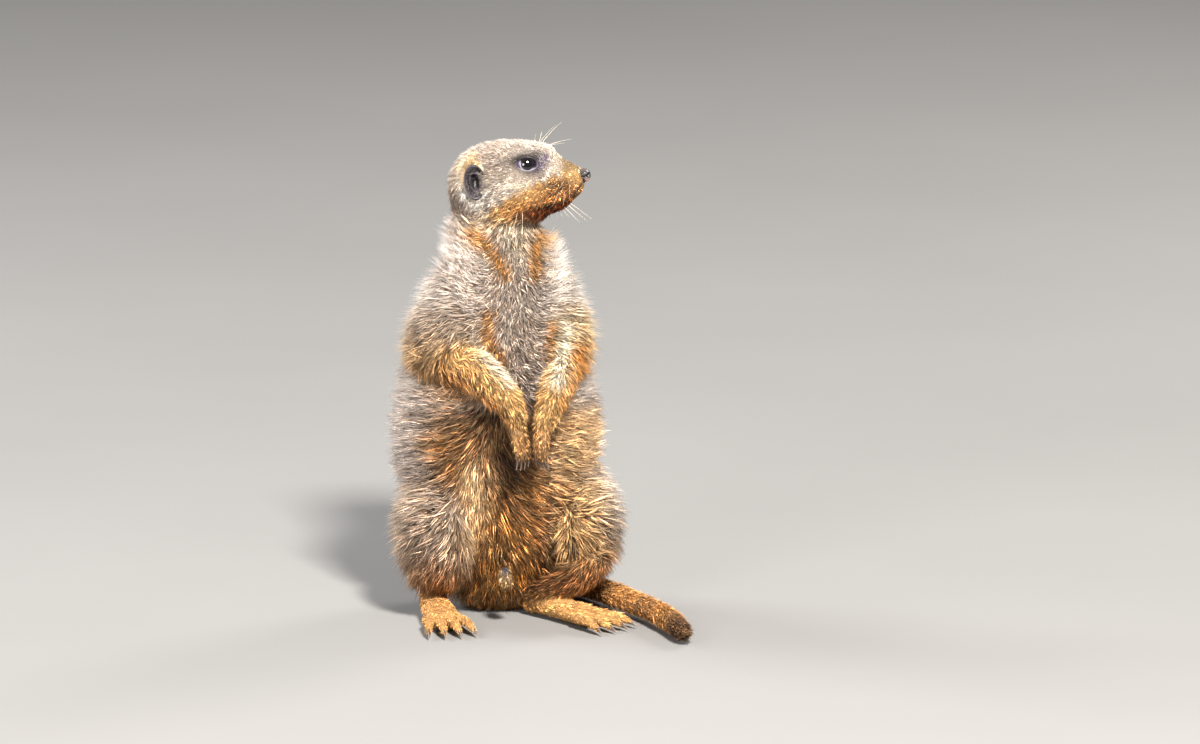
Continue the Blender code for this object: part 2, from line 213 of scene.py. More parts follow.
def loft_rings(stations, reference, segments, rings, domes=(0, 0), inset=(0, 0), power=2.0):
    """Rings of a loft, drawn in by inset (at its start, at its end), with rounded ends."""
    last = len(stations) - 1
    made = []
    for k in range(rings + 1):
        share = k / rings
        centre, side, front, tangent = frame_at(stations, last * share, reference)
        depth = inset[0] + (inset[1] - inset[0]) * share
        sizes = [max(v - depth, 0.3) for v in at(stations, last * share)[3:6]]
        made.append((centre, side, front, tangent, sizes))
    whole = [ring(c, s, f, *sizes, segments, power) for c, s, f, _, sizes in made]
    for which, sign in ((0, -1), (-1, 1)):
        if not domes[which]:
            continue
        centre, side, front, tangent, sizes = made[which]
        reach = max(domes[which] - inset[which], 0.6)
        cap = []
        for degrees in (20, 40, 60, 78):
            angle = math.radians(degrees)
            smaller = [v * math.cos(angle) for v in sizes]
            here = centre + tangent * sign * reach * math.sin(angle)
            cap.append(ring(here, side, front, *smaller, segments, power))
        whole = whole + cap if sign > 0 else cap[::-1] + whole
    return whole


def add_loft(shape, rings, closed=False):
    """Adds a surface through the rings to a bmesh: capped at both ends, or joined end to end."""
    loops = [[shape.verts.new(p) for p in points] for points in rings]
    count = len(loops[0])
    for low, high in zip(loops, loops[1:] + (loops[:1] if closed else [])):
        for k in range(count):
            shape.faces.new((low[k], low[(k + 1) % count], high[(k + 1) % count], high[k]))
    if closed:
        return
    for loop in (loops[0][::-1], loops[-1]):
        middle = shape.verts.new(sum((v.co for v in loop), Vector()) / count)
        for k in range(count):
            shape.faces.new((loop[k], loop[(k + 1) % count], middle))


def in_frame(points):
    """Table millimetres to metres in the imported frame."""
    return (np.asarray(points, float) + OFFSET) * MM


def mesh_of(name, shape):
    """A mesh from a bmesh, with its faces turned outwards."""
    bmesh.ops.recalc_face_normals(shape, faces=shape.faces)
    mesh = bpy.data.meshes.new(name)
    shape.to_mesh(mesh)
    shape.free()
    return mesh


def as_piece(name, mesh, finish):
    """An object from a mesh in table millimetres, riding on the body."""
    write_points(mesh, in_frame(read_points(mesh)))
    mesh.shade_smooth()
    mesh.materials.append(finish)
    made = bpy.data.objects.new(name, mesh)
    bpy.context.scene.collection.objects.link(made)
    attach(made, "root")
    return made


def read_points(mesh):
    points = np.empty(len(mesh.vertices) * 3, np.float32)
    mesh.vertices.foreach_get("co", points)
    return points.reshape(-1, 3).astype(float)


def write_points(mesh, points):
    mesh.vertices.foreach_set("co", points.astype(np.float32).ravel())
    mesh.update()


# ---- Head frame ----------------------------------------------------------------------


def head_frame():
    """Forward, sideways (towards the animal's right) and up of the head."""
    turn = Matrix.Rotation(HEAD_TURN, 3, "Z") @ Matrix.Rotation(-HEAD_PITCH, 3, "X")
    turn = turn @ Matrix.Rotation(HEAD_ROLL, 3, "Y")
    return turn @ Vector((0, -1, 0)), turn @ Vector((-1, 0, 0)), turn @ UP


FORWARD, SIDEWAYS, HEAD_UP = head_frame()
HEAD_AXES = np.array([FORWARD, SIDEWAYS, HEAD_UP])


def in_head(forward, sideways, up):
    return HEAD_CENTRE + FORWARD * forward + SIDEWAYS * sideways + HEAD_UP * up


def head_coordinates(points):
    """Forward, sideways and up of each point, in the head's frame."""
    return (points - np.array(HEAD_CENTRE)) @ HEAD_AXES.T


eye_low, eye_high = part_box("eye_right")
OFFSET = np.array((eye_low + eye_high) / 2 / MM - in_head(*EYE_BALL))

# ---- Forms: what the skin is made of -------------------------------------------------


def digit_stations(palm, fan, reference, droop, digit):
    """Stations, tip and direction of each digit of a palm or foot."""
    reach, splay, radius = digit["reach"], digit["splay"], digit["radius"]
    row = palm[-1][3] - radius * 0.8
    end = Vector(palm[-1][:3])
    along = (end - Vector(palm[-2][:3])).normalized()
    for k in range(FINGERS):
        across = (k - (FINGERS - 1) / 2) / ((FINGERS - 1) / 2)
        way = (along + fan * across * splay + droop).normalized()
        root = end + fan * across * row
        tip = root + way * reach * (1 - 0.16 * abs(across))
        bend = (root + tip) / 2 + reference * radius * 0.35
        yield [
            (*(root - along * radius * 1.6), radius, radius, radius),
            (*bend, radius, radius, radius),
            (*tip, radius * 0.78, radius * 0.78, radius * 0.78),
        ], tip, way


def fan_of(foot):
    along = Vector(foot[-1][:3]) - Vector(foot[-2][:3])
    return UP.cross(along).normalized()


class Form:
    """One limb or length of the body: its loft, and how hair lies and is coloured on it."""

    def __init__(self, name, region, stations, reference, inset, domes, samples=12, power=2.0):
        self.name, self.region, self.stations, self.reference = name, region, stations, reference
        self.inset, self.domes, self.power = inset, domes, power
        last = len(stations) - 1
        places = [last * k / (samples - 1) for k in range(samples)]
        frames = [frame_at(stations, place, reference) for place in places]
        self.centre, self.side, self.front, self.along = (np.array(v, float) for v in zip(*frames))
        self.sizes = np.array([at(stations, place)[3:6] for place in places])
        self.samples = samples

    def rings(self, segments=40, rings=28):
        return loft_rings(
            self.stations, self.reference, segments, rings, self.domes, self.inset, self.power
        )

    def measure(self, points):
        """How far out each point is as a share of the form, its place along it and its angle."""
        away = points[:, None, :] - self.centre[None]
        across = np.einsum("nkc,kc->nk", away, self.side) / self.sizes[:, 0]
        reach = np.einsum("nkc,kc->nk", away, self.front)
        reach = reach / np.where(reach > 0, self.sizes[:, 1], self.sizes[:, 2])
        beyond = np.einsum("nkc,kc->nk", away, self.along) / self.sizes.mean(1)
        score = across**2 + reach**2 + beyond**2
        best = score.argmin(1)
        rows = np.arange(len(points))
        step = np.linalg.norm(np.diff(self.centre, axis=0), axis=1).mean()
        shift = beyond[rows, best] * self.sizes.mean(1)[best] / step
        place = np.clip((best + shift) / (self.samples - 1), 0, 1)
        angle = np.arctan2(reach[rows, best], across[rows, best])
        return np.sqrt(score[rows, best]), place, angle, self.along[best]


def all_forms():
    head = [(*in_head(s, 0, t), half, up, down) for s, t, half, up, down in HEAD]
    forms = [
        Form("spine", "trunk", SPINE, FACING, (8.8, 4.4), (2, 4), 26, 2.1),
        Form("head", "head", head, HEAD_UP, (2.1, 0.9), (4.5, 1.2), 22, 2.15),
        Form("groin", "groin", GROIN, FACING, (3, 3), (6, 7), 5),
        Form("tail", "tail", TAIL, UP, (3.2, 2.2), (9, 7), 26),
    ]
    arms = (
        ("right", UPPER_ARM_RIGHT, FOREARM_RIGHT, HAND_RIGHT, HAND_FAN_RIGHT),
        ("left", UPPER_ARM_LEFT, FOREARM_LEFT, HAND_LEFT, HAND_FAN_LEFT),
    )
    for side, upper, lower, hand, fan in arms:
        back = fan.cross(UP).normalized()
        forms.append(Form("upper_arm_" + side, "upper_arm", upper, FACING, (6.2, 6.2), (13, 14), 8))
        forms.append(Form("forearm_" + side, "forearm", lower, UP, (5.0, 1.8), (9, 3), 14))
        forms.append(Form("hand_" + side, "hand", hand, back, (1.4, 1.2), (5, 3), 4))
        for k, (points, _, _) in enumerate(digit_stations(hand, fan, back, Vector(), FINGER)):
            forms.append(Form(f"finger_{side}_{k}", "hand", points, back, (0.5, 0.4), (2, 2), 5))
    legs = (
        ("right", THIGH_RIGHT, SHANK_RIGHT, FOOT_RIGHT),
        ("left", THIGH_LEFT, SHANK_LEFT, FOOT_LEFT),
    )
    for side, thigh, shank, foot in legs:
        forms.append(Form("thigh_" + side, "thigh", thigh, UP, (9, 8.6), (12, 13), 14))
        forms.append(Form("shank_" + side, "shank", shank, UP, (3.2, 2.4), (9, 5), 10))
        forms.append(Form("foot_" + side, "foot", foot, UP, (1.8, 1.6), (6, 5), 12))
        for k, (points, _, _) in enumerate(digit_stations(foot, fan_of(foot), UP, TOE_LIFT, TOE)):
            forms.append(Form(f"toe_{side}_{k}", "foot", points, UP, (0.9, 0.8), (3, 3), 7))
    return forms


FORMS = all_forms()
REGIONS = sorted({form.region for form in FORMS})
BLEND = 0.09  # how softly one form's hair gives way to the next one's


class Lay:
    """For many points of the skin: the forms' shares, the nearest form, and places on it."""

    def __init__(self, points):
        count = len(points)
        scores = np.empty((len(FORMS), count))
        places = np.empty((len(FORMS), count))
        angles = np.empty((len(FORMS), count))
        self.tangents = []
        for k, form in enumerate(FORMS):
            scores[k], places[k], angles[k], along = form.measure(points)
            self.tangents.append(along)
        self.points = points
        self.form = scores.argmin(0)
        rows = np.arange(count)
        self.place, self.angle = places[self.form, rows], angles[self.form, rows]
        shares = np.exp(-(scores - scores.min(0)) / BLEND)
        self.shares = shares / shares.sum(0)
        self.head = head_coordinates(points)

    def share(self, region):
        """How much of each point belongs to a region."""
        return sum(self.shares[k] for k, form in enumerate(FORMS) if form.region == region)


# ---- Small numeric helpers -----------------------------------------------------------


def unit(vectors):
    return vectors / np.maximum(np.linalg.norm(vectors, axis=-1, keepdims=True), 1e-9)


def smooth_step(low, high, value):
    t = np.clip((value - low) / (high - low), 0, 1)
    return t * t * (3 - 2 * t)


def spot(points, centre, radii):
    """1 at a centre, falling to 0 with distance as a Gaussian of those radii."""
    away = (points - np.array(centre)) / np.array(radii)
    return np.exp(-(away**2).sum(-1))


def line_distance(points, line):
    """Distance from 2-D points to a polyline."""
    best = np.full(len(points), 1e9)
    for a, b in zip(line, line[1:]):
        a, b = np.array(a, float), np.array(b, float)
        way = b - a
        t = np.clip((points - a) @ way / (way @ way), 0, 1)
        best = np.minimum(best, np.linalg.norm(points - (a + t[:, None] * way), axis=1))
    return best


def waves(points, size, seed, channels=3):
    """Smooth noise about 0, of features about size mm across, from a few sine waves."""
    rng = np.random.default_rng(seed)
    total = np.zeros((len(points), channels))
    for _ in range(7):
        for channel in range(channels):
            direction = rng.normal(size=3)
            direction *= rng.uniform(0.6, 1.5) * math.tau / size / np.linalg.norm(direction)
            total[:, channel] += np.sin(points @ direction + rng.uniform(0, math.tau))
    return total / 7**0.5


# ---- Skin ----------------------------------------------------------------------------

VOXEL = 1.1
MOUTH_LINE = [  # forward and up in the head
    (47.5, -4.2), (45.4, -5.2), (41.8, -7.9), (37.6, -11.2), (33, -13.4), (27, -14.2), (15, -14.6),
]
EYE_RADIUS = 7.0
EYE_CENTRE = (16.6, 13.5, 10.5)
EYE_WIDTH, EYE_LIFT, EYE_DROP = 6.2, 4.0, 3.5  # half length, and reach up and down, of the opening
EYE_TILT = math.radians(8)  # the front corner is this much lower than level
EYE_POINT = 1.4  # how pointed the corners are: 1 for an ellipse


def eye_axes(sign):
    """Centre of the eyeball, and its axes: outwards, towards the nose, up."""
    forward, sideways, up = EYE_CENTRE
    centre = in_head(forward, sideways * sign, up)
    out = (FORWARD * 0.26 + SIDEWAYS * sign * 0.95 + HEAD_UP * 0.12).normalized()
    long = FORWARD * math.cos(EYE_TILT) - HEAD_UP * math.sin(EYE_TILT)
    long = (long - out * long.dot(out)).normalized()
    high = out.cross(long)
    high = high if high.dot(HEAD_UP) > 0 else -high
    return centre, out, long, high


def eye_coordinates(points, sign):
    """Along, up and out of each point in an eye's own axes."""
    centre, out, long, high = eye_axes(sign)
    return (points - np.array(centre)) @ np.array([long, high, out]).T


def opening(points):
    """How far out a point is as a share of the almond between the lids."""
    along, up = points[:, 0], points[:, 1]
    high = np.where(up > 0, EYE_LIFT, EYE_DROP)
    return np.sqrt((along / EYE_WIDTH) ** 2 + np.abs(up / high) ** (2 / EYE_POINT))


def remeshed_skin():
    """One closed surface round every form."""
    shape = bmesh.new()
    for form in FORMS:
        add_loft(shape, form.rings())
    rough = bpy.data.objects.new("skin_rough", mesh_of("skin_rough", shape))
    bpy.context.scene.collection.objects.link(rough)
    remesh = rough.modifiers.new("union", "REMESH")
    remesh.mode = "VOXEL"
    remesh.voxel_size = VOXEL
    bpy.context.view_layer.update()
    whole = rough.evaluated_get(bpy.context.evaluated_depsgraph_get())
    made = bpy.data.meshes.new_from_object(whole)
    bpy.data.objects.remove(rough)
    return made


def edges_of(mesh):
    edges = np.empty(len(mesh.edges) * 2, np.int64)
    mesh.edges.foreach_get("vertices", edges)
    return edges.reshape(-1, 2)


def averaged(values, edges):
    """Each vertex's mean of its neighbours' values."""
    count = len(values)
    total = np.empty_like(values)
    ends, starts = np.r_[edges[:, 0], edges[:, 1]], np.r_[edges[:, 1], edges[:, 0]]
    for channel in range(values.shape[1]):
        total[:, channel] = np.bincount(ends, values[starts, channel], count)
    return total / np.maximum(np.bincount(ends, minlength=count), 1)[:, None]


def relax(points, edges, weight, rounds):
    for _ in range(rounds):
        points = points + (averaged(points, edges) - points) * weight[:, None]
    return points


def divide_head(mesh):
    """Halves the faces of the head, where the fine forms are."""
    shape = bmesh.new()
    shape.from_mesh(mesh)
    points = np.array([f.calc_center_median() for f in shape.faces])
    head = head_coordinates(points)
    fine = (head[:, 0] > -19) & (np.abs(head[:, 1]) < 32) & (head[:, 2] > -24) & (head[:, 2] < 30)
    edges = {e for f, wanted in zip(shape.faces, fine) if wanted for e in f.edges}
    bmesh.ops.subdivide_edges(shape, edges=list(edges), cuts=1, use_grid_fill=True)
    bmesh.ops.triangulate(shape, faces=[f for f in shape.faces if len(f.verts) > 4])
    shape.to_mesh(mesh)
    shape.free()


FACE_FORMS = [  # height, centre and radii, each forward, sideways and up in the head
    (1.2, (9, 20, -3), (9, 9, 7)),  # cheekbone
    (0.9, (17, 14, 21.5), (8, 6, 4)),  # brow
    (-1.3, (28, 12, 9), (6, 6, 5)),  # hollow in front of the eye
    (-0.5, (31, 2, 15), (6, 8, 5)),  # stop
    (0.8, (38.5, 8, -6), (6, 5, 4.5)),  # whisker pad
    (1.6, (41, 3, -8), (5, 8, 5)),  # lip under the nose
    (2.3, (34, 3, -14.5), (8, 9, 5)),  # chin
    (-1.0, (-1, 25, 9), (7, 8, 12)),  # temple
]
EAR_BOWL_DEPTH = 5.2


def ear_share(s, t):
    """How far out a place on the side of the head is, as a share of the ear's oval."""
    return np.hypot((s - EAR_PLACE[0]) / 5.4, (t - EAR_PLACE[2]) / 9.4)


def face_relief(head):
    """How far the skin of the head stands out (or in, below 0) beyond the plain loft, in mm."""
    s, w, t = head[:, 0], np.abs(head[:, 1]), head[:, 2]
    here = np.stack([s, w, t], 1)
    relief = sum(height * spot(here, centre, radii) for height, centre, radii in FACE_FORMS)
    line = line_distance(np.stack([s, t], 1), MOUTH_LINE)
    below = t < np.interp(s, *np.array(MOUTH_LINE[::-1]).T)
    side = smooth_step(1.5, 4, w) * smooth_step(14, 20, s)
    relief -= 0.9 * np.exp(-((line / 0.7) ** 2)) * side
    relief += np.where(below, -0.5, 0.5) * np.exp(-(((line - 1.5) / 1.1) ** 2)) * side
    ear = spot(np.stack([s, t], 1), EAR_PLACE[::2], (4.8, 8.6)) * smooth_step(12, 18, w)
    return relief - EAR_BOWL_DEPTH * ear**1.2


def wrap_eyes(points):
    """Draws the skin up over each eyeball as lids, and in behind it between them."""
    for sign in (1, -1):
        local = eye_coordinates(points, sign)
        across = np.hypot(local[:, 0], local[:, 1])
        near = (local[:, 2] > -2) & (across < 14)
        shell = np.sqrt(np.clip((EYE_RADIUS + 0.45) ** 2 - across**2, 0, None))
        soft = 1.1
        height = local[:, 2]
        over = soft * np.log(np.exp(height / soft) + np.exp(shell / soft))
        fade = 1 - smooth_step(6.5, 12, across)
        lifted = height + (over - height) * fade
        inside = 1 - smooth_step(0.98, 1.1, opening(local))
        sunk = np.sqrt(np.clip((EYE_RADIUS - 0.9) ** 2 - across**2, 1, None))
        target = lifted * (1 - inside) + sunk * inside
        out = np.array(eye_axes(sign)[1])
        points = points + np.where(near, target - height, 0)[:, None] * out
    return points


def vertex_normals(mesh):
    normals = np.empty(len(mesh.vertices) * 3, np.float32)
    mesh.vertices.foreach_get("normal", normals)
    return normals.reshape(-1, 3).astype(float)


def settle(points):
    """Presses what is under the floor on to it."""
    points = points.copy()
    points[:, 2] = np.maximum(points[:, 2], FLOOR_CLEAR)
    return points


def skin_mesh():
    mesh = remeshed_skin()
    points, edges = read_points(mesh), edges_of(mesh)
    lay = Lay(points)
    small = lay.share("hand") + lay.share("foot") + 0.6 * lay.share("head")
    small = small + 0.45 * (lay.share("forearm") + lay.share("shank") + lay.share("tail"))
    weight = 0.6 * (1 - np.clip(small, 0, 1)) ** 2
    points = relax(points, edges, weight, 90)
    points = relax(points, edges, np.full(len(points), 0.35), 4)
    write_points(mesh, points)
    divide_head(mesh)
    points, edges = read_points(mesh), edges_of(mesh)
    head = head_coordinates(points)
    on_head = smooth_step(-21, -15, head[:, 0]) * smooth_step(-25, -20, head[:, 2])
    on_head *= (np.abs(head[:, 1]) < 34) & (head[:, 2] < 32)
    points = relax(points, edges, 0.5 * (on_head > 0), 5)
    write_points(mesh, points)
    relief = face_relief(head_coordinates(points)) * on_head
    points = points + vertex_normals(mesh) * relief[:, None]
    points = wrap_eyes(points)
    write_points(mesh, settle(points))
    return mesh


# ---- Lie of the coat -----------------------------------------------------------------


SLANT = 0.2126  # how much lower a mark is seen for each millimetre that it lies further forward


def seen_from_front(points):
    """Across and up, as the animal is seen from in front and a little above."""
    return np.stack([points[:, 0], points[:, 2] + SLANT * (points[:, 1] - 10)], 1)


def body_lie(lay, along):
    """Down the middle of the front, outwards to its sides, and down the back."""
    x, v = seen_from_front(lay.points).T
    middle = np.interp(v, [30, 50, 85, 100, 150, 200], [0, -14, -14, -6, 2, 6])
    out = np.clip((x - middle) / 24, -1, 1)
    sides = np.interp(v, [20, 50, 85, 140, 175, 205], [-1.1, -0.65, -0.15, 0.0, 0.3, 0.7])
    rise = (np.abs(out) - 1) + sides * np.abs(out)
    spread = np.interp(v, [0, 60, 140, 200, 225], [0.5, 0.9, 1.1, 0.7, 0.35])
    front = np.stack([out * spread, 0 * x, rise], 1)
    facing = smooth_step(-0.75, 0.0, np.sin(lay.spine_angle))[:, None]
    return front * facing + (np.array([0, 0, -1.0]) * 0.5 - along * 0.5) * (1 - facing)


def flow_at(lay):
    """The way the hair lies, before it is laid on the surface."""
    down = np.array([0, 0, -1.0])
    s, w, t = lay.head.T
    side = np.sign(w)
    total = np.zeros_like(lay.points)
    for k, form in enumerate(FORMS):
        along = lay.tangents[k]
        if form.region in ("trunk", "thigh"):
            way = body_lie(lay, along if form.region == "trunk" else -down)
        elif form.region == "head":
            cheek = smooth_step(4, -14, t)[:, None]
            nape = smooth_step(-10, -24, s)[:, None]
            way = -(1 - 0.85 * nape) * HEAD_AXES[0] - (0.55 * cheek + 1.1 * nape) * HEAD_AXES[2]
            way = way + 0.25 * (side * smooth_step(3, 12, np.abs(w)))[:, None] * HEAD_AXES[1]
        elif form.region == "upper_arm":
            way = 0.5 * along + 0.6 * body_lie(lay, -along)
        elif form.region == "forearm":
            way = along + 0.5 * down
        elif form.region == "groin":
            way = np.broadcast_to(down, along.shape)
        else:
            way = along
        total += way * lay.shares[k][:, None]
    return total


# ---- Markings: one function for skin and coat ----------------------------------------


def rgb(*values):
    """sRGB, 0 to 255, to linear."""
    v = np.array(values) / 255
    return np.where(v <= 0.04045, v / 12.92, ((v + 0.055) / 1.055) ** 2.4)


CREAM = rgb(246, 218, 178)
WHITE = rgb(248, 240, 232)
PALE = rgb(238, 222, 202)
SAND = rgb(222, 206, 188)
GREY = rgb(200, 182, 166)
GOLD = rgb(222, 174, 110)
AMBER = rgb(214, 148, 66)
RUST = rgb(176, 98, 36)
BROWN = rgb(126, 86, 56)
DARK = rgb(74, 46, 30)
BLACK = rgb(26, 20, 20)
PLUM = rgb(112, 98, 124)


def blend(base, colour, mask):
    return base + (colour - base) * np.clip(mask, 0, 1)[:, None]


def near(seen, line, width):
    """1 on a line, falling off over a width."""
    return np.exp(-((line_distance(seen, line) / width) ** 2))


def dab(colour, seen, spots, mask=1.0):
    """Blends in spots: each a tint, its amount, its centre and radii, and how sharp it is."""
    for tint, amount, centre, radii, *sharp in spots:
        share = spot(seen, centre, radii)
        colour = blend(colour, tint, amount * (share ** sharp[0] if sharp else share) * mask)
    return colour


def stroke(colour, seen, lines, mask):
    """Blends in lines: each a tint, its amount, its points and its width."""
    for tint, amount, line, width in lines:
        colour = blend(colour, tint, amount * mask * near(seen, line, width))
    return colour


# Spots are placed forward and up in the head, on both its sides.
HEAD_SPOTS = [
    (rgb(176, 156, 140), 0.8, (-3, 23), (12, 6)),
    (rgb(196, 176, 158), 0.5, (0, 8), (8, 8)),
    (WHITE, 0.35, (20, 21), (12, 5)),
    (WHITE, 0.5, (24, 2), (7, 4)),
    (PALE, 0.4, (31, 8), (6, 7)),
    (PALE, 0.8, (8, 1), (12, 7)),
    (rgb(170, 150, 138), 0.8, (20, 4), (8, 4)),
    (WHITE, 0.5, (-2, -2), (8, 7)),
]
MUZZLE_SPOTS = [
    (rgb(124, 80, 44), 0.95, (33, -5), (12, 6)),
    (rgb(120, 62, 30), 0.7, (17, -13), (8, 3)),
    (RUST, 0.75, (31, -11), (13, 3.6)),
    (AMBER, 0.6, (6, -16), (13, 6)),
]
EYE_SPOTS = [
    (rgb(104, 88, 84), 0.9, (18.5, 13.4), (10.5, 6.0), 0.9),
    (BLACK, 1.2, (17.5, 12.9), (8.8, 4.8), 1.5),
    (BLACK, 0.9, (16, 14.6), (8.5, 2.4)),
    (rgb(96, 82, 92), 0.9, (22.5, 7.4), (4.5, 3.0)),
    (PLUM, 0.95, (27.5, 12.6), (3.2, 3.0)),
    (PLUM, 0.95, (24.5, 9.0), (3.0, 2.0)),
]
MUZZLE_EDGE = [(-14, -18.5), (2, -7), (17.5, -1.5), (32, 1.5), (42, 4.8), (47, 5.5)]


def head_colour(lay):
    s, w, t = lay.head.T
    w = np.abs(w)
    side = np.stack([s, t], 1)
    colour = np.broadcast_to(rgb(212, 194, 176), lay.points.shape)
    colour = dab(colour, side, HEAD_SPOTS)
    edge = np.interp(s, *np.array(MUZZLE_EDGE).T)
    ragged = waves(lay.points, 5, 31, 1)[:, 0] * 1.6
    golden = smooth_step(3.4, -3.4, t - edge + ragged)
    colour = blend(colour, GOLD, 0.95 * golden * smooth_step(-20, -8, s))
    colour = dab(colour, side, MUZZLE_SPOTS, golden)
    # The underside of the jaw is painted dark rust: its own colour, darkened with painted shade.
    jaw = smooth_step(-12, -16, t) * smooth_step(0, 12, s)
    colour = blend(colour, rgb(110, 46, 10), 0.95 * jaw)
    bridge = smooth_step(32, 39, s) * smooth_step(1.0, 4.5, t)
    colour = blend(colour, rgb(164, 132, 86), 0.95 * bridge)
    line = line_distance(side, MOUTH_LINE)
    mouth = np.exp(-((line / 1.1) ** 2)) * smooth_step(2, 5, w) * smooth_step(15, 22, s)
    colour = blend(colour, DARK, 0.6 * mouth)
    colour = dab(colour, side, EYE_SPOTS, smooth_step(6, 11, w))
    return ear_colour(colour, s, w, t)


def ear_colour(colour, s, w, t):
    """Adds the pale ring round each ear, the darker nape behind it and the dark inside it."""
    rim = np.hypot((s - EAR_PLACE[0]) / 5.2, (t - EAR_PLACE[2]) / 10)
    ring_colour = blend(np.broadcast_to(rgb(255, 236, 206), colour.shape), WHITE, smooth_step(8, -2, t))
    ring_colour = blend(ring_colour, rgb(214, 190, 146), smooth_step(10, 15, t))
    behind = smooth_step(-8, -13, s) * smooth_step(7, 13, w)
    below = spot(np.stack([s, t], 1), (-11, -6), (6, 4))
    around = np.exp(-(((rim - 1.5) / 0.7) ** 2)) * np.maximum(behind, below)
    colour = colour + (ring_colour - colour) * around[:, None]
    nape = smooth_step(-14, -23, s + 0.25 * t) * smooth_step(6, -6, t)
    colour = blend(colour, rgb(136, 112, 94), 0.75 * nape)
    wide = smooth_step(7, 13, w)
    beyond = smooth_step(1.6, 2.2, rim) * smooth_step(-13, -18, s)
    colour = blend(colour, rgb(150, 128, 112), 0.6 * wide * beyond)
    low_back = np.maximum(smooth_step(-14, -17, s), smooth_step(0, -3, t) * smooth_step(1, -6, s))
    colour = blend(colour, WHITE, 0.95 * wide * low_back * np.exp(-(((rim - 1.15) / 0.3) ** 2)))
    return blend(colour, BLACK, smooth_step(0.8, 0.7, rim) * smooth_step(10, 14, w))


# Places are across and up as seen_from_front gives them.
BAND = [(-18, 83), (-16.5, 62), (-18.5, 42)]  # the pale stripe inside the right thigh
FOREARM_CREAM_AND_HIGHLIGHT = [  # the pale lines down the forearms, cream fur brightened with painted highlight on their lit fronts, and how wide they are
    ([(-18, 160), (-13, 151), (-4, 141.5), (4, 133)], 3.8),
    ([(34, 168), (33, 149), (29.5, 133)], 4.0),
]
CUFFS = [  # the golden lines along the sides of the forearms, and how wide they are
    ([(-11.5, 172), (-13.6, 159), (-7.7, 150.6), (0.6, 142.2), (7.7, 132.5), (12.4, 121.7)], 2.8),
    ([(27, 168), (24.2, 147), (21.3, 135), (17.1, 121.7)], 2.6),
    ([(42, 157), (40.8, 141), (37.3, 128.9), (32.5, 116.8)], 3.0),
]
CHEST_SPOTS = [
    (rgb(214, 194, 178), 0.6, (6, 165), (16, 24)),
    (rgb(214, 194, 178), 0.6, (9, 140), (9, 14)),
    # The three white spots that follow are the shoulders' pale fur, brightened with painted highlight
    # where the light falls on them.
    (WHITE, 0.6, (33, 200), (12, 20)),
    (WHITE, 0.6, (40, 182), (10, 16)),
    (WHITE, 0.6, (-32, 211), (12, 11)),
    (rgb(240, 206, 150), 0.8, (0, 232), (20, 7)),
    (rgb(250, 230, 200), 0.85, (6, 222), (18, 8)),
    (rgb(250, 230, 200), 0.85, (9, 213), (8, 10)),
    # Painted shade in the right armpit, where the arm meets the chest.
    (DARK, 0.6, (-30, 175), (6, 5)),
    (rgb(138, 114, 96), 0.85, (-32, 232), (10, 13)),
]
CHEST_LINES = [
    (AMBER, 0.95, [(-18, 222), (-10, 212), (0, 196)], 4.4),
    (AMBER, 1.0, [(23, 228), (18, 212), (18, 196)], 4.2),
    (AMBER, 0.95, [(-10.6, 172), (-10.6, 158), (-3, 146)], 4.0),
    (AMBER, 0.8, [(28, 170), (25.8, 154)], 3.0),
]
BELLY_SPOTS = [
    # The three dark spots that follow are painted shadow cast by the arms and hands on the belly.
    (DARK, 0.9, (-14, 116), (22, 8)),
    (DARK, 0.9, (4, 90), (10, 14)),
    (rgb(60, 34, 20), 0.6, (4, 84), (9, 14)),
    (AMBER, 0.7, (-28, 128), (14, 4)),
    (AMBER, 0.7, (-38, 98), (9, 5)),
    (AMBER, 0.7, (-26, 84), (9, 5)),
    (rgb(216, 154, 84), 0.85, (2, 50), (18, 14)),
    (rgb(216, 154, 84), 0.85, (16, 72), (8, 10)),
    (AMBER, 0.8, (-7, 46), (6, 18)),
]
STRIPE_TINT = rgb(255, 219, 170)
BACK_BAND = 15  # height from one dark cross band of the back to the next, mm


def strongest(seen, lines):
    """The strongest of several lines at each point."""
    return np.maximum.reduce([near(seen, line, width) for line, width in lines])


def trunk_colour(lay):
    x, _, z = lay.points.T
    front = np.sin(lay.spine_angle)
    seen = seen_from_front(lay.points)
    v = seen[:, 1]
    facing = smooth_step(-0.1, 0.35, front)
    colour = np.broadcast_to(rgb(194, 174, 160), lay.points.shape)
    colour = blend(colour, rgb(222, 202, 186), 0.9 * facing * smooth_step(118, 145, v))
    colour = dab(colour, seen, CHEST_SPOTS, facing)
    colour = stroke(colour, seen, CHEST_LINES, facing)
    belly = facing * smooth_step(128, 112, v)
    centre = smooth_step(-52, -28, x) * smooth_step(30, 16, x)
    left = smooth_step(18, 30, x) * smooth_step(60, 42, x)
    colour = blend(colour, rgb(172, 118, 70), 0.9 * belly * centre)
    colour = blend(colour, rgb(255, 210, 156), 0.95 * belly * left)
    colour = dab(colour, seen, BELLY_SPOTS, facing)
    colour = blend(colour, STRIPE_TINT, facing * near(seen, BAND, 6.6) ** 0.7)
    colour = blend(colour, AMBER, 0.95 * facing * spot(seen, (0, 20), (28, 20)))
    wavy = 0.6 * np.sin(x / 9) + 0.5 * np.sin(z / 21)
    bands = 0.5 + 0.5 * np.sin(z * math.tau / BACK_BAND + wavy)
    back = smooth_step(0.0, -0.5, front) * smooth_step(200, 160, z) * smooth_step(8, 40, z)
    colour = blend(colour, rgb(96, 68, 48), 0.8 * back * smooth_step(0.45, 0.85, bands))
    return blend(colour, SAND, 0.4 * back * smooth_step(0.45, 0.1, bands))


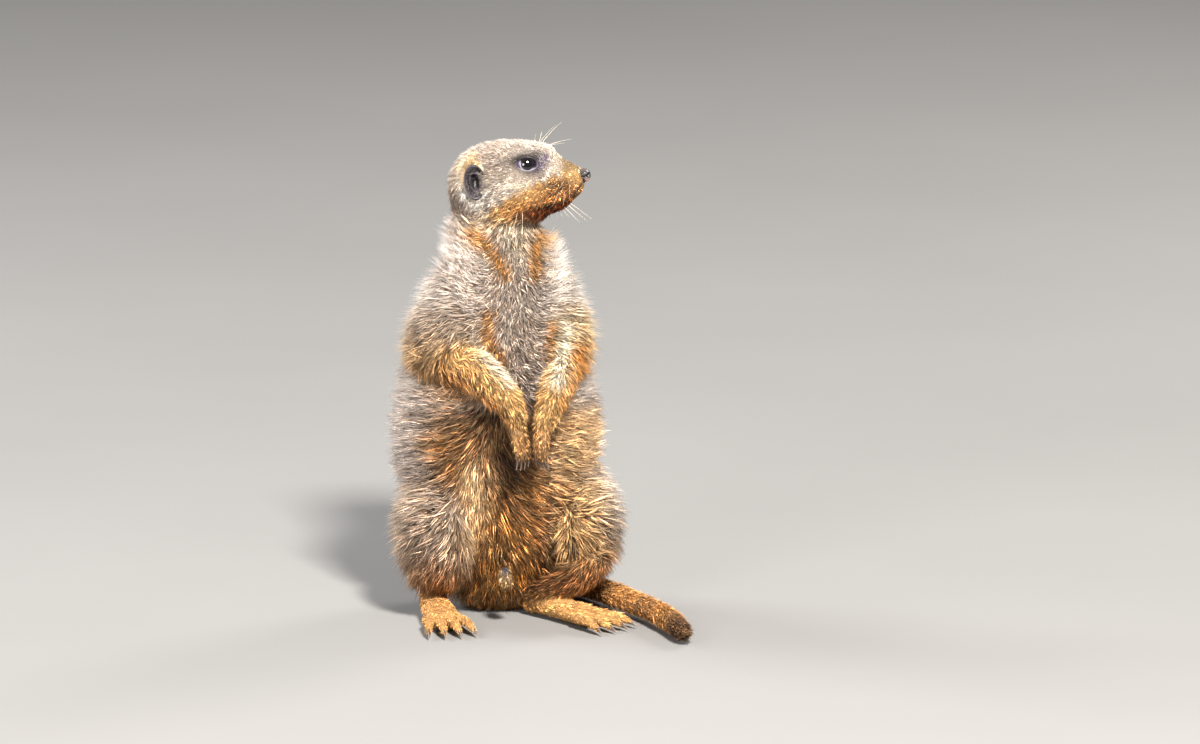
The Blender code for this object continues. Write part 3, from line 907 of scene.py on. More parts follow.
def limb_colours(lay):
    """The colour of each region but the head and the trunk."""
    x, y, z = lay.points.T
    seen = seen_from_front(lay.points)
    v = seen[:, 1]

    def plain(*values):
        return np.broadcast_to(rgb(*values), lay.points.shape)

    def arm_colours():
        under = smooth_step(0.2, -0.6, lay.normals[:, 2])
        upper = blend(plain(200, 174, 150), WHITE, 0.5 * smooth_step(165, 190, v))
        # Painted shade in the right armpit, where the upper arm meets the chest.
        upper = blend(upper, DARK, 0.6 * spot(seen, (-30, 175), (7, 6)))
        elbow = smooth_step(168, 148, v) * smooth_step(0, -20, x)
        upper = blend(upper, rgb(246, 206, 154), 0.9 * elbow)
        outer = smooth_step(20, 30, x) * smooth_step(185, 165, v)
        upper = blend(upper, rgb(246, 218, 168), 0.9 * outer)
        # Where a forearm faces down it turns rust: partly the fringe's own colour, partly painted shade
        # beneath it.
        lower = blend(plain(240, 196, 132), RUST, 0.7 * under * smooth_step(16, 2, x))
        elbow = smooth_step(-8, -30, x) * smooth_step(150, 138, v)
        lower = blend(lower, rgb(216, 152, 84), 0.5 * elbow)
        for base in (upper, lower):
            # The pale lines down the forearms: cream fur with painted highlight on their lit fronts.
            base = blend(base, rgb(255, 240, 212), strongest(seen, FOREARM_CREAM_AND_HIGHLIGHT))
            yield blend(base, rgb(222, 140, 46), 0.95 * strongest(seen, CUFFS))

    def thigh_colour():
        colour = blend(plain(208, 180, 156), rgb(196, 136, 88), 0.8 * smooth_step(40, 16, v))
        left = smooth_step(12, 26, x) * smooth_step(12, -8, y) * smooth_step(66, 50, x)
        colour = blend(colour, rgb(232, 188, 130), 0.9 * left)
        # Painted shadow under the left thigh, above its shank.
        colour = blend(colour, rgb(92, 56, 34), 0.85 * spot(seen, (38, 25), (14, 10)))
        colour = blend(colour, WHITE, 0.35 * spot(seen, (60, 62), (9, 22)))
        facing = smooth_step(-0.1, 0.35, np.sin(lay.spine_angle))
        colour = blend(colour, STRIPE_TINT, facing * near(seen, BAND, 7.0) ** 0.7)
        colour = blend(colour, AMBER, 0.85 * facing * spot(seen, (-12, 40), (9, 14)))
        return blend(colour, AMBER, 0.6 * spot(seen, (-28, 10), (14, 8)))

    upper_arm, forearm = arm_colours()
    dapple = smooth_step(0.2, 0.7, waves(lay.points, 22, 5, 1)[:, 0])
    tail = blend(plain(212, 150, 84), BROWN, 0.45 * dapple)
    return dict(
        upper_arm=upper_arm, forearm=forearm, thigh=thigh_colour(), groin=plain(240, 190, 116),
        hand=blend(plain(228, 178, 120), BROWN, 0.3 * smooth_step(104, 92, v)),
        shank=blend(plain(160, 108, 66), GOLD, 0.6 * smooth_step(20, 8, z)),
        foot=blend(plain(250, 190, 118), AMBER, 0.5 * smooth_step(-14, 4, y)),
        tail=blend(tail, DARK, 0.9 * smooth_step(0.84, 0.97, lay.place) * (x > 80)),
    )


GROIN_SEEN = (0.3, 24.5)  # the groin's place, across and up


def markings(lay):
    """The coat's main colour at each point, one form's blending into the next one's."""
    colours = dict(limb_colours(lay), head=head_colour(lay), trunk=trunk_colour(lay))
    total = sum(colours[region] * lay.share(region)[:, None] for region in REGIONS)
    seen = seen_from_front(lay.points)
    ahead = smooth_step(-8, -16, lay.points[:, 1])
    total = blend(total, rgb(250, 212, 152), 0.85 * ahead * spot(seen, GROIN_SEEN, (9, 13)))
    total = blend(total, rgb(70, 68, 86), ahead * spot(seen, (0.3, 26), (4.8, 8.6)) ** 0.6)
    drift = waves(lay.points, 17, 3, 1) * 0.10 + waves(lay.points, 6, 4, 1) * 0.08
    return np.clip(total * (1 + drift), 0.004, 1)


# ---- Materials -----------------------------------------------------------------------


def new_material(name, roughness, specular=0.5):
    made = bpy.data.materials.new(name)
    made.use_nodes = True
    shader = made.node_tree.nodes["Principled BSDF"]
    shader.inputs["Roughness"].default_value = roughness
    shader.inputs["Specular IOR Level"].default_value = specular
    return made, made.node_tree.nodes, made.node_tree.links, shader


def add_noise(nodes, links, scale, detail=3.0):
    place = nodes.new("ShaderNodeTexCoord")
    noise = nodes.new("ShaderNodeTexNoise")
    noise.inputs["Scale"].default_value = scale
    noise.inputs["Detail"].default_value = detail
    noise.inputs["Roughness"].default_value = 0.55
    links.new(place.outputs["Object"], noise.inputs["Vector"])
    return noise


def painted_material(name, roughness, grain, depth, bump=0.0, bump_scale=900.0, **shine):
    """Colour from the mesh's own markings, varied by fine noise, with a bump if asked."""
    made, nodes, links, shader = new_material(name, roughness, **shine)

    def node(kind, **settings):
        fresh = nodes.new("ShaderNode" + kind)
        for key, value in settings.items():
            fresh.inputs[key.replace("_", " ")].default_value = value
        return fresh

    colour = node("Attribute")
    colour.attribute_name = "Coat"
    spread = node("MapRange", To_Min=1 - depth, To_Max=1 + depth)
    links.new(add_noise(nodes, links, grain).outputs["Fac"], spread.inputs["Value"])
    mix = node("Mix")
    mix.data_type = "RGBA"
    mix.blend_type = "MULTIPLY"
    mix.inputs["Factor"].default_value = 1.0
    links.new(colour.outputs["Color"], mix.inputs["A"])
    links.new(spread.outputs["Result"], mix.inputs["B"])
    links.new(mix.outputs["Result"], shader.inputs["Base Color"])
    if bump:
        lift = node("Bump", Strength=bump, Distance=0.0004)
        links.new(add_noise(nodes, links, bump_scale, 4.0).outputs["Fac"], lift.inputs["Height"])
        links.new(lift.outputs["Normal"], shader.inputs["Normal"])
    return made


HAIR = painted_material("coat_hair", 0.58, 260.0, 0.2, specular=0.22)
SKIN = painted_material("skin_fur", 0.85, 700.0, 0.35, bump=0.6, bump_scale=1400.0, specular=0.2)
BARE = painted_material("bare_skin", 0.42, 900.0, 0.2, bump=0.35, bump_scale=2200.0, specular=0.4)
NOSE = painted_material("nose_pad", 0.3, 1200.0, 0.15, bump=0.5, bump_scale=2600.0, specular=0.5)
EYE = painted_material("eye_wet", 0.06, 900.0, 0.25, specular=0.5)
HORN = painted_material("claw_horn", 0.38, 1500.0, 0.25, bump=0.15, bump_scale=1800.0, specular=0.45)
WHISKER = painted_material("whisker", 0.4, 300.0, 0.1, specular=0.4)


def paint(mesh, colours):
    """Stores one colour for each vertex."""
    layer = mesh.attributes.new("Coat", "FLOAT_COLOR", "POINT")
    rgba = np.ones((len(mesh.vertices), 4), np.float32)
    rgba[:, :3] = colours
    layer.data.foreach_set("color", rgba.ravel())


# ---- Coat ----------------------------------------------------------------------------

PATCH = 0.003  # width of a tuft's patch on the bake map
ROOT_DEPTH = 0.5  # how far a tuft's root is set into the skin, mm


def spikes(
    name, root, normal, flow, length, width, lift, bend, stops, chart, levels, slot,
    clump=0, strands=None,
):
    """Solid three-sided tufts, one joined mesh.

    lift and bend are the angles off the surface at a tuft's root and tip; stops holds a colour for
    each level and the tip; clump draws each tuft's tip towards that of its strand's leader.
    """
    count = len(root)
    start = np.cos(lift)[:, None] * flow + np.sin(lift)[:, None] * normal
    finish = np.cos(bend)[:, None] * flow + np.sin(bend)[:, None] * normal
    t = np.append(np.array(levels), 1.0)
    path = root[:, None] - normal[:, None] * ROOT_DEPTH
    path = path + length[:, None, None] * (
        t[None, :, None] * start[:, None] + t[None, :, None] ** 2 / 2 * (finish - start)[:, None]
    )
    if strands is not None:
        pull = np.reshape(clump, (-1, 1)) * t[None, :] ** 1.2
        path = path + (path[strands] - path) * pull[:, :, None]
    way = unit(np.gradient(path, axis=1))
    across = unit(np.cross(way, normal[:, None]))
    above = np.cross(across, way)
    taper = {1: (1.0,), 2: (0.85, 0.8)}[len(levels)]
    rows = []
    for level in range(len(levels)):
        half = width[:, None] * taper[level] / 2
        for corner in range(3):
            angle = math.radians(90 + 120 * corner)
            offset = across[:, level] * math.cos(angle) * 1.1
            offset = offset + above[:, level] * math.sin(angle) * 0.6
            rows.append(path[:, level] + offset * half)
    rows.append(path[:, -1])
    points = settle(np.stack(rows, 1).reshape(-1, 3))
    per = 3 * len(levels) + 1
    faces, corners = [(0, 2, 1)], [((0, 0), (1, 0), (0.5, 0))]
    for level in range(len(levels) - 1):
        low, high = t[level], t[level + 1]
        for k in range(3):
            a, b = level * 3 + k, level * 3 + (k + 1) % 3
            u, v = k / 3, (k + 1) / 3
            faces += [(a, b, b + 3), (a, b + 3, a + 3)]
            corners += [((u, low), (v, low), (v, high)), ((u, low), (v, high), (u, high))]
    for k in range(3):
        a, b = (len(levels) - 1) * 3 + k, (len(levels) - 1) * 3 + (k + 1) % 3
        faces.append((a, b, per - 1))
        corners.append(((k / 3, t[-2]), ((k + 1) / 3, t[-2]), ((k + 0.5) / 3, 1)))
    faces, corners = np.array(faces), np.array(corners)
    index = (faces[None] + per * np.arange(count)[:, None, None]).reshape(-1)
    uv = chart[:, None, None, :] + (corners[None] - 0.5) * PATCH
    mesh = bpy.data.meshes.new(name)
    mesh.vertices.add(len(points))
    mesh.vertices.foreach_set("co", points.astype(np.float32).ravel())
    mesh.loops.add(len(index))
    mesh.loops.foreach_set("vertex_index", index.astype(np.int32))
    mesh.polygons.add(len(index) // 3)
    mesh.polygons.foreach_set("loop_start", np.arange(0, len(index), 3, dtype=np.int32))
    mesh.update(calc_edges=True)
    layer = mesh.uv_layers.new(name="OFBake")
    layer.data.foreach_set("uv", np.clip(uv, 0, 1).astype(np.float32).ravel())
    paint(mesh, np.repeat(stops, [3] * len(levels) + [1], axis=1).reshape(-1, 3))
    return as_piece(name, mesh, HAIR)


def strands_of(root, size):
    """The nearest leader of each tuft: one tuft in size leads."""
    rng = np.random.default_rng(len(root))
    leaders = rng.choice(len(root), max(len(root) // size, 1), replace=False)
    tree = kdtree.KDTree(len(leaders))
    for k, leader in enumerate(leaders):
        tree.insert(root[leader], k)
    tree.balance()
    return leaders[[tree.find(p)[1] for p in root]]


class Field:
    """The finished skin as arrays: where tufts can root, and what the coat is like there."""

    def __init__(self, mesh):
        self.points = read_points(mesh)
        self.normals = vertex_normals(mesh)
        self.lay = Lay(self.points)
        self.lay.normals = self.normals
        spine = next(form for form in FORMS if form.name == "spine")
        self.lay.spine_angle = spine.measure(self.points)[2]
        edges = edges_of(mesh)
        flow = unit(flow_at(self.lay))
        for _ in range(10):
            flow = averaged(flow, edges)
        swirl = waves(self.points, 26, 11) * 0.16 + waves(self.points, 9, 12) * 0.10
        flow = unit(flow) + swirl * (1 - 0.6 * self.lay.share("head"))[:, None]
        self.flow = unit(flow - (flow * self.normals).sum(1, keepdims=True) * self.normals)
        self.colours = markings(self.lay)
        short = self.lay.share("head") + self.lay.share("hand") + self.lay.share("foot")
        reach = np.clip(5.0 - 3.6 * short, 1.4, 5.0)[:, None]
        shown = Lay(self.points + self.flow * reach)
        shown.normals, shown.spine_angle = self.normals, self.lay.spine_angle
        self.hair = markings(shown)
        mesh.calc_loop_triangles()
        triangles = np.empty(len(mesh.loop_triangles) * 3, np.int64)
        mesh.loop_triangles.foreach_get("vertices", triangles)
        self.triangles = triangles.reshape(-1, 3)
        a, b, c = (self.points[self.triangles[:, k]] for k in range(3))
        self.areas = np.linalg.norm(np.cross(b - a, c - a), axis=1) / 2
        self.openness = self.allowed()

    def allowed(self):
        """1 where hair grows, 0 on lids, nose, inside the ears, on soles and in the mouth."""
        grows = np.ones(len(self.points))
        s, w, t = self.lay.head.T
        on_head = self.lay.share("head")
        for sign in (1, -1):
            local = eye_coordinates(self.points, sign)
            share = opening(local)
            grows *= np.where((local[:, 2] > 0) & (share < 1.12), 0, 1)
        grows *= np.where((ear_share(s, t) < 0.95) & (np.abs(w) > 12) & (on_head > 0.5), 0, 1)
        line = line_distance(np.stack([s, t], 1), MOUTH_LINE)
        grows *= np.where((line < 0.45) & (on_head > 0.5) & (s > 16), 0, 1)
        grows *= np.where((s > 46.2) & (on_head > 0.5), 0, 1)
        sole = (self.points[:, 2] < 1.2) & (self.normals[:, 2] < -0.7)
        return np.where(sole, 0, grows)

    def sample(self, wanted, count, seed, density):
        """Roots spread evenly over the vertices that are wanted: triangle and weights of each."""
        share = wanted * self.openness * density
        chance = self.areas * share[self.triangles].mean(1)
        total = np.cumsum(chance)
        rng = np.random.default_rng(seed)
        draws = (np.arange(count) + rng.random(count)) / count * total[-1]
        rows = np.minimum(np.searchsorted(total, draws), len(total) - 1)
        u, v = rng.random(count), rng.random(count)
        flip = u + v > 1
        u, v = np.where(flip, 1 - u, u), np.where(flip, 1 - v, v)
        return rows, np.stack([1 - u - v, u, v], 1)


WARM = np.array([1.18, 0.93, 0.7])  # how a hair's colour turns to brown towards its root: partly its own colour, partly warm painted shade deep in the coat


def grizzled(main, rng, levels, light, dark, tone, root):
    """Colours along each tuft: dark at its root (partly the hair's own darker base, partly painted shade
    deep in the coat), then its main colour, often pale at its tip.
    """
    count = len(main)
    is_dark = rng.random(count) < dark
    body = main * np.where(is_dark, 0.26, np.exp(rng.normal(0, tone, count)))[:, None]
    body = np.where(is_dark[:, None], body * WARM, body)
    pale = rng.random(count) < 0.5
    paleness = light * np.where(pale, rng.uniform(0.65, 1, count), rng.uniform(0, 0.3, count))
    paleness = paleness * np.where(is_dark, 0.3, 1.0)
    paleness = paleness * (0.15 + 0.85 * smooth_step(0.01, 0.11, main.mean(1)))
    root = np.reshape(root, (-1, 1))
    golden = smooth_step(0.3, 0.75, (main[:, 0] - main[:, 2]) / (main[:, 0] + 0.02))
    tips = blend(np.broadcast_to(WHITE, main.shape), rgb(255, 218, 160), golden)
    # The darkening towards the root is partly the hair's own colour and partly painted shade; WARM turns
    # that shade brown.
    shares = [root + (1 - root) * smooth_step(0, 0.8, t) for t in levels]
    warmth = (0.5 + 1.5 * golden)[:, None]
    stops = [body * share * WARM ** ((1 - share) * warmth) for share in shares]
    return np.stack(stops + [body + (tips - body) * paleness[:, None]], 1)


HAIR_STYLE = dict(  # what a style of hair has unless it says otherwise
    levels=(0, 0.5), density=1, uneven=0.2, rough=7, speckle=0.25, root=0.2, shade=1.0,
)
SPECKLE_SIZES = 1.7, 4.5  # mm


def cover(field, name, regions, wanted, count, seed, style, slot):
    """One piece of the coat over the wanted places of some regions of the skin."""
    rng = np.random.default_rng(seed + 1000)
    style = HAIR_STYLE | style
    forms = forms_in(*regions)
    wanted = wanted * np.isin(field.lay.form, forms)
    rows, weights = field.sample(wanted, count, seed, style["density"])
    vertex = field.triangles[rows, 0]

    def read(values):
        return (values[field.triangles[rows]] * weights[..., None]).sum(1)

    def pick(key):
        value = style[key]
        return value[vertex] if isinstance(value, np.ndarray) else value

    def column(key):
        return np.reshape(pick(key), (-1, 1))

    root, normal, flow = read(field.points), unit(read(field.normals)), unit(read(field.flow))
    flow = unit(flow + rng.normal(0, 1, (count, 3)) * column("stray"))
    flow = unit(flow - (flow * normal).sum(1, keepdims=True) * normal)
    length = pick("length") * np.exp(rng.normal(0, 1, count).clip(-2, 1.5) * style["uneven"])
    width = pick("width") * rng.uniform(0.75, 1.2, count)
    lift = np.radians(np.clip(pick("lift") + rng.normal(0, style["rough"], count), 4, 85))
    bend = np.radians(np.clip(pick("bend") + rng.normal(0, style["rough"], count), 0, 85))
    fine, coarse = (waves(root, size, seed + k, 1) for k, size in enumerate(SPECKLE_SIZES))
    main = read(field.hair) * np.exp((fine * 0.6 + coarse * 0.5) * column("speckle"))
    clump, strands = pick("clump"), None
    if np.any(clump):
        strands = strands_of(root, style["strand"])
        streak = rng.normal(-0.1, 1, count)[strands] * pick("streak")
        main = main * np.exp(streak)[:, None]
    levels = style["levels"]
    colours = (pick(key) for key in ("light", "dark", "tone", "root"))
    # An undercoat's colour is darkened here: painted shade deep in the coat.
    stops = grizzled(main * column("shade"), rng, levels, *colours)
    place, turn = field.lay.place[vertex], field.lay.angle[vertex] / math.tau + 0.5
    strip = lay_strips(forms)[field.lay.form[vertex]]
    chart = np.stack([strip[:, 0] + turn * strip[:, 1], place * 0.98 + 0.01], 1)
    spikes(
        name, root, normal, flow, length, width, lift, bend, stops, chart, levels, slot, clump, strands
    )


def lay_strips(forms):
    """A strip of the bake map for each form, as wide as its girth among those of the piece."""
    girth = np.array([form.sizes.mean() for form in FORMS])
    strips = np.zeros((len(FORMS), 2))
    total = sum(girth[k] for k in forms)
    left = 0.005
    for k in forms:
        width = 0.99 * girth[k] / total
        strips[k] = left, width
        left += width
    return strips


def forms_in(*regions):
    return [k for k, form in enumerate(FORMS) if form.region in regions]


def cover_twice(field, regions, parts, styles, slot):
    """The coats of some parts, and then the undercoats beneath them.

    A part is its name, where it is wanted, and a count and a seed for each layer.
    """
    for k, layer in enumerate(("coat_", "undercoat_")):
        for part, wanted, counts, seeds in parts:
            cover(field, layer + part, regions, wanted, counts[k], seeds[k], styles[k], slot)


def undercoat(style, **changes):
    """The style of the shorter, darker hairs beneath a coat; their darkness is painted shade deep in the
    coat.
    """
    shorter = dict(length=style["length"] * 0.8, light=style["light"] * 0.55)
    return dict(style, levels=(0,), clump=0, **shorter) | changes


# The limbs' undercoat is darkened with painted shade deep in the coat.
LIMB_UNDERCOAT = dict(root=0.08, dark=0.32, shade=0.7)


class Places:
    """Where each vertex of the skin is, in the ways that the coat's styles depend on."""

    def __init__(self, field):
        s, w, t = field.lay.head.T
        self.s, self.t = s, t
        self.x, self.y, self.z = field.points.T
        self.seen = seen_from_front(field.points)
        away = (np.linalg.norm(eye_coordinates(field.points, sign), axis=1) for sign in (1, -1))
        self.eye_far = np.minimum(*away)
        self.ear_far = np.where(np.abs(w) > 12, ear_share(s, t), 9)
        self.flank = smooth_step(0.45, 0.95, np.abs(field.normals[:, 0]))
        self.everywhere = np.ones(len(s))


def cover_head(field, at_skin):
    s, t, ear_far = at_skin.s, at_skin.t, at_skin.ear_far
    muzzle = smooth_step(22, 32, s) * smooth_step(6, 0, t)
    top = smooth_step(12, 22, t)
    jaw = smooth_step(-12, -16, t) * smooth_step(0, 12, s)
    nape = smooth_step(-12, -24, s) * smooth_step(6, -8, t)
    fringe = np.exp(-(((ear_far - 1.35) / 0.35) ** 2)) * (s < EAR_PLACE[0] + 3)
    length = np.interp(s, [-30, -18, 0, 14, 28, 38, 46], [7.0, 5.0, 3.8, 3.3, 2.6, 2.0, 1.3])
    length = length * (1 + 0.8 * smooth_step(-8, -20, t) * smooth_step(38, 24, s))
    length = length * (1 + 0.25 * smooth_step(0, -14, t) * smooth_step(-12, -22, s))
    length = length * (0.55 + 0.45 * smooth_step(7.4, 12, at_skin.eye_far))
    length = length * np.where(s > EAR_PLACE[0], 0.5 + 0.5 * smooth_step(1.0, 1.9, ear_far), 1)
    head = dict(
        length=length, width=np.interp(length, [1, 3, 7], [0.27, 0.36, 0.5]) * (1 + 0.35 * muzzle),
        lift=27 + 14 * top + 16 * fringe + 12 * muzzle + 8 * nape,
        bend=16 + 14 * top + 10 * fringe + 8 * nape,
        light=(0.8 - 0.3 * muzzle) * (1 - 0.9 * jaw) + 0.3 * fringe,
        dark=(0.26 + 0.2 * muzzle) * (1 - 0.9 * fringe), tone=0.46 + 0.25 * muzzle,
        speckle=0.36 + 0.7 * muzzle, clump=0.15 + 0.55 * muzzle, streak=0.3 + 0.5 * muzzle,
        stray=0.36 + 0.2 * top, density=1 + 1.0 * smooth_step(10, 34, s),
        root=0.14 + 0.5 * fringe, strand=3,
    )
    # The head's undercoat is darkened with painted shade deep in the coat.
    fine = undercoat(
        head, width=head["width"] * 0.95, lift=head["lift"] * 0.85, root=0.2,
        light=head["light"] * 0.5, shade=0.8,
    )
    parts = (
        ("face", s > 6, (9500, 19000), (21, 23)),
        ("crown", s <= 6, (8000, 18000), (22, 24)),
    )
    cover_twice(field, ["head"], parts, (head, fine), "fur_head")


def cover_body(field, at_skin):
    z, flank = at_skin.z, at_skin.flank
    front = smooth_step(-0.2, 0.3, np.sin(field.lay.spine_angle))
    chest = front * smooth_step(120, 140, z) * smooth_step(232, 215, z)
    collar = smooth_step(190, 216, z)
    band = front * near(at_skin.seen, BAND, 7.0)
    bump = spot(at_skin.seen, GROIN_SEEN, (9, 13)) * smooth_step(-8, -16, at_skin.y)
    length = np.interp(z, [10, 60, 150, 200, 225, 240], [9, 12.5, 12, 10, 8.5, 6.5])
    body = dict(
        length=length * (1 - 0.38 * chest),
        width=np.interp(z, [150, 240], [0.54, 0.42]) * (1 - 0.12 * chest),
        lift=29 + 20 * flank * (1 - collar) - 3 * collar, bend=15 + 20 * flank * (1 - collar),
        light=(1.0 - 0.1 * front) * (1 - 0.85 * bump), dark=0.27 * (1 - 0.8 * band),
        tone=0.42, speckle=0.45 * (1 - 0.6 * band), strand=3,
        streak=(0.6 - 0.16 * chest) * (1 - 0.6 * band), clump=0.74 - 0.2 * chest,
        stray=0.26 + 0.24 * chest, uneven=0.26, rough=11, root=0.16 + 0.5 * band,
    )
    # The body's undercoat is darkened with painted shade deep in the coat, less on the pale band.
    beneath = dict(root=0.07 + 0.5 * band, dark=0.36 * (1 - 0.8 * band), shade=0.62 + 0.3 * band)
    ahead, upper = front > 0.5, smooth_step(118, 122, z)
    parts = (
        ("chest", ahead * upper, (11000, 25000), (31, 34)),
        ("belly", ahead * (1 - upper), (6000, 12000), (32, 35)),
        ("back", ~ahead, (6500, 18000), (33, 36)),
    )
    cover_twice(field, ["trunk"], parts, (body, undercoat(body, **beneath)), "fur_body")

    haunch = dict(
        body, length=12.5, width=0.54, lift=31 + 20 * flank, bend=15 + 22 * flank,
        light=1.0 - 0.3 * smooth_step(50, 25, z), stray=0.24, clump=0.74,
    )
    parts = [("haunches", at_skin.everywhere, (10000, 23000), (41, 42))]
    cover_twice(field, ["thigh"], parts, (haunch, undercoat(haunch, **beneath)), "fur_body")


def cover_limbs(field, at_skin):
    z, flank, everywhere = at_skin.z, at_skin.flank, at_skin.everywhere
    length = np.interp(z, [104, 118, 140, 160, 190], [2.6, 4.6, 7.6, 10.0, 10.5])
    length = length * (1 + 0.5 * smooth_step(0, -0.7, field.normals[:, 2]))
    length = length * (1 + 0.3 * smooth_step(-46, -58, at_skin.x))
    # Hair on the pale lines, cream fur with painted highlight, is less dark.
    pale = strongest(at_skin.seen, FOREARM_CREAM_AND_HIGHLIGHT) * (at_skin.y < 10)
    arm = dict(
        length=length, width=np.interp(length, [2.4, 10], [0.34, 0.5]),
        lift=np.interp(length, [2.4, 10], [15, 30]) + 14 * flank,
        bend=np.interp(length, [2.4, 10], [8, 18]) + 14 * flank,
        light=0.85 + 0.15 * smooth_step(150, 180, z), dark=0.24 * (1 - 0.7 * pale), tone=0.36,
        speckle=0.36 * (1 - 0.5 * pale), clump=0.64, root=0.16 + 0.4 * pale, stray=0.3, strand=3,
        streak=0.46, density=np.interp(length, [2.4, 5, 10], [2.6, 1.5, 1.0]),
    )
    parts = [("arms", everywhere, (10500, 20000), (51, 52))]
    styles = arm, undercoat(arm, **LIMB_UNDERCOAT)
    cover_twice(field, ["upper_arm", "forearm", "hand"], parts, styles, "fur_limb")

    length = np.interp(z, [0, 5, 12, 20, 40], [2.2, 3.4, 5.6, 7.5, 9.5])
    leg = dict(
        length=length, width=np.interp(length, [2.2, 8], [0.34, 0.5]),
        lift=np.interp(length, [2.2, 8], [14, 24]), bend=8.0, light=0.6, dark=0.26, tone=0.38,
        speckle=0.45, clump=0.55, stray=0.24, strand=3, streak=0.4,
        density=np.interp(length, [2.2, 6], [1.8, 1.0]),
    )
    styles = leg, undercoat(leg, light=0.35, **LIMB_UNDERCOAT)
    parts = [("feet", everywhere, (7500, 15000), (61, 62))]
    cover_twice(field, ["shank", "foot"], parts, styles, "fur_limb")

    short = field.lay.share("groin")
    tail = dict(
        leg, length=6.2 - 2.6 * short, width=0.5, lift=17.0, bend=10.0,
        light=0.5 * (1 - 0.8 * short), dark=0.25, density=1 + short,
    )
    styles = tail, undercoat(tail, length=tail["length"], light=0.35, **LIMB_UNDERCOAT)
    parts = [("tail", everywhere, (6000, 9000), (71, 72))]
    cover_twice(field, ["tail", "groin"], parts, styles, "fur_tail")


def cover_guard(field, at_skin):
    """Long, pale single hairs that stand out of the coat."""
    s, t, z, flank = at_skin.s, at_skin.t, at_skin.z, at_skin.flank
    guard = dict(
        length=6 + 7.5 * smooth_step(245, 215, z), width=0.32, lift=36 + 24 * flank,
        bend=26 + 28 * flank, light=1.0, dark=0.0, tone=0.2, stray=0.34, uneven=0.16, rough=10,
        levels=(0,), root=0.3, clump=0.5, strand=4, streak=0.2, density=0.25 + 1.3 * flank,
    )
    down = dict(
        guard, length=np.interp(s, [-30, -14, 4, 30], [6.0, 5.0, 3.6, 2.4]), width=0.24,
        lift=46.0, bend=36.0, density=0.3 + smooth_step(8, 16, t) + smooth_step(-12, -20, s),
    )
    clear = (s < 32) * (at_skin.ear_far > 1.2) * (at_skin.eye_far > 9)
    cover(field, "guard_head", ["head"], clear, 2400, 83, down, "fur_head")
    guarded = ["trunk", "thigh", "upper_arm"]
    cover(field, "guard_upper", guarded, z > 110, 9000, 81, guard, "fur_body")
    cover(field, "guard_lower", guarded, z <= 110, 8000, 82, guard, "fur_body")


def make_coat(field):
    at_skin = Places(field)
    for cover_part in (cover_head, cover_body, cover_limbs, cover_guard):
        cover_part(field, at_skin)


# ---- Eyes, lids, nose, ears ----------------------------------------------------------


def make_eyes():
    for name, sign in (("right", 1), ("left", -1)):
        centre, out, long, high = eye_axes(sign)
        shape = bmesh.new()
        bmesh.ops.create_uvsphere(shape, u_segments=48, v_segments=32, radius=EYE_RADIUS)
        turn = Matrix((long, high, out)).transposed().to_4x4()
        turn.translation = centre
        bmesh.ops.transform(shape, matrix=turn, verts=shape.verts)
        mesh = mesh_of("eyeball_" + name, shape)
        along, up, _ = eye_coordinates(read_points(mesh), sign).T
        across = np.hypot(along - 0.3, up - 0.6)
        colour = np.broadcast_to(rgb(10, 9, 13), (len(across), 3))
        iris_edge = np.exp(-(((across - 3.2) / 0.45) ** 2))
        colour = blend(colour, rgb(34, 25, 26), 0.8 * iris_edge)
        low_back = smooth_step(1.2, -1.2, up + 0.45 * along)
        crescent = smooth_step(3.9, 4.2, across) * smooth_step(5.1, 4.5, across)
        colour = blend(colour, rgb(176, 178, 194), 0.6 * crescent * low_back)
        paint(mesh, blend(colour, rgb(74, 60, 74), smooth_step(4.6, 5.4, across)))
        ball = as_piece("eyeball_" + name, mesh, EYE)
        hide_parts("eye_" + name)
        make_lids(name, sign)


LID_PROFILE = (  # growth of the almond along and up, and distance out from the ball
    (0.95, 0.92, -0.5), (0.985, 0.98, 0.02), (1.0, 1.0, 0.3), (1.02, 1.06, 0.48),
    (1.06, 1.16, 0.54), (1.12, 1.34, 0.45), (1.2, 1.6, 0.2), (1.24, 1.75, -0.5),
)
LID_DEPTH = 1.6


def make_lids(name, sign):
    """A rim round the opening: a thin margin on the ball, then a soft fold down to the skin."""
    centre, out, long, high = eye_axes(sign)
    steps = 96
    rings = []
    for wide, tall, rise in LID_PROFILE:
        points = []
        for k in range(steps):
            angle = math.tau * k / steps
            up = math.sin(angle)
            reach = EYE_LIFT if up > 0 else EYE_DROP
            a = EYE_WIDTH * wide * math.cos(angle)
            b = reach * tall * math.copysign(abs(up) ** EYE_POINT, up)
            w = math.sqrt(max((EYE_RADIUS + rise) ** 2 - a * a - b * b, 0.01))
            points.append(centre + long * a + high * b + out * w)
        rings.append(points)
    for points in (rings[-1], rings[0]):
        rings.append([point - out * LID_DEPTH for point in points])
    shape = bmesh.new()
    add_loft(shape, rings, closed=True)
    mesh = mesh_of("lids_" + name, shape)
    local = eye_coordinates(read_points(mesh), sign)
    colour = np.broadcast_to(rgb(30, 24, 26), local.shape)
    lower = smooth_step(-1.0, -2.2, local[:, 1]) * smooth_step(1.08, 1.01, opening(local))
    colour = blend(colour, rgb(190, 188, 206), 0.4 * lower)
    corners = smooth_step(5.0, 6.4, np.abs(local[:, 0]))
    paint(mesh, blend(colour, PLUM, 0.8 * corners))
    as_piece("lids_" + name, mesh, BARE)


NOSE_PLACE = np.array((46.3, 0, -0.9))  # the pad's centre, and half its size, in the head's frame
NOSE_HALF = np.array((3.9, 4.5, 3.9))


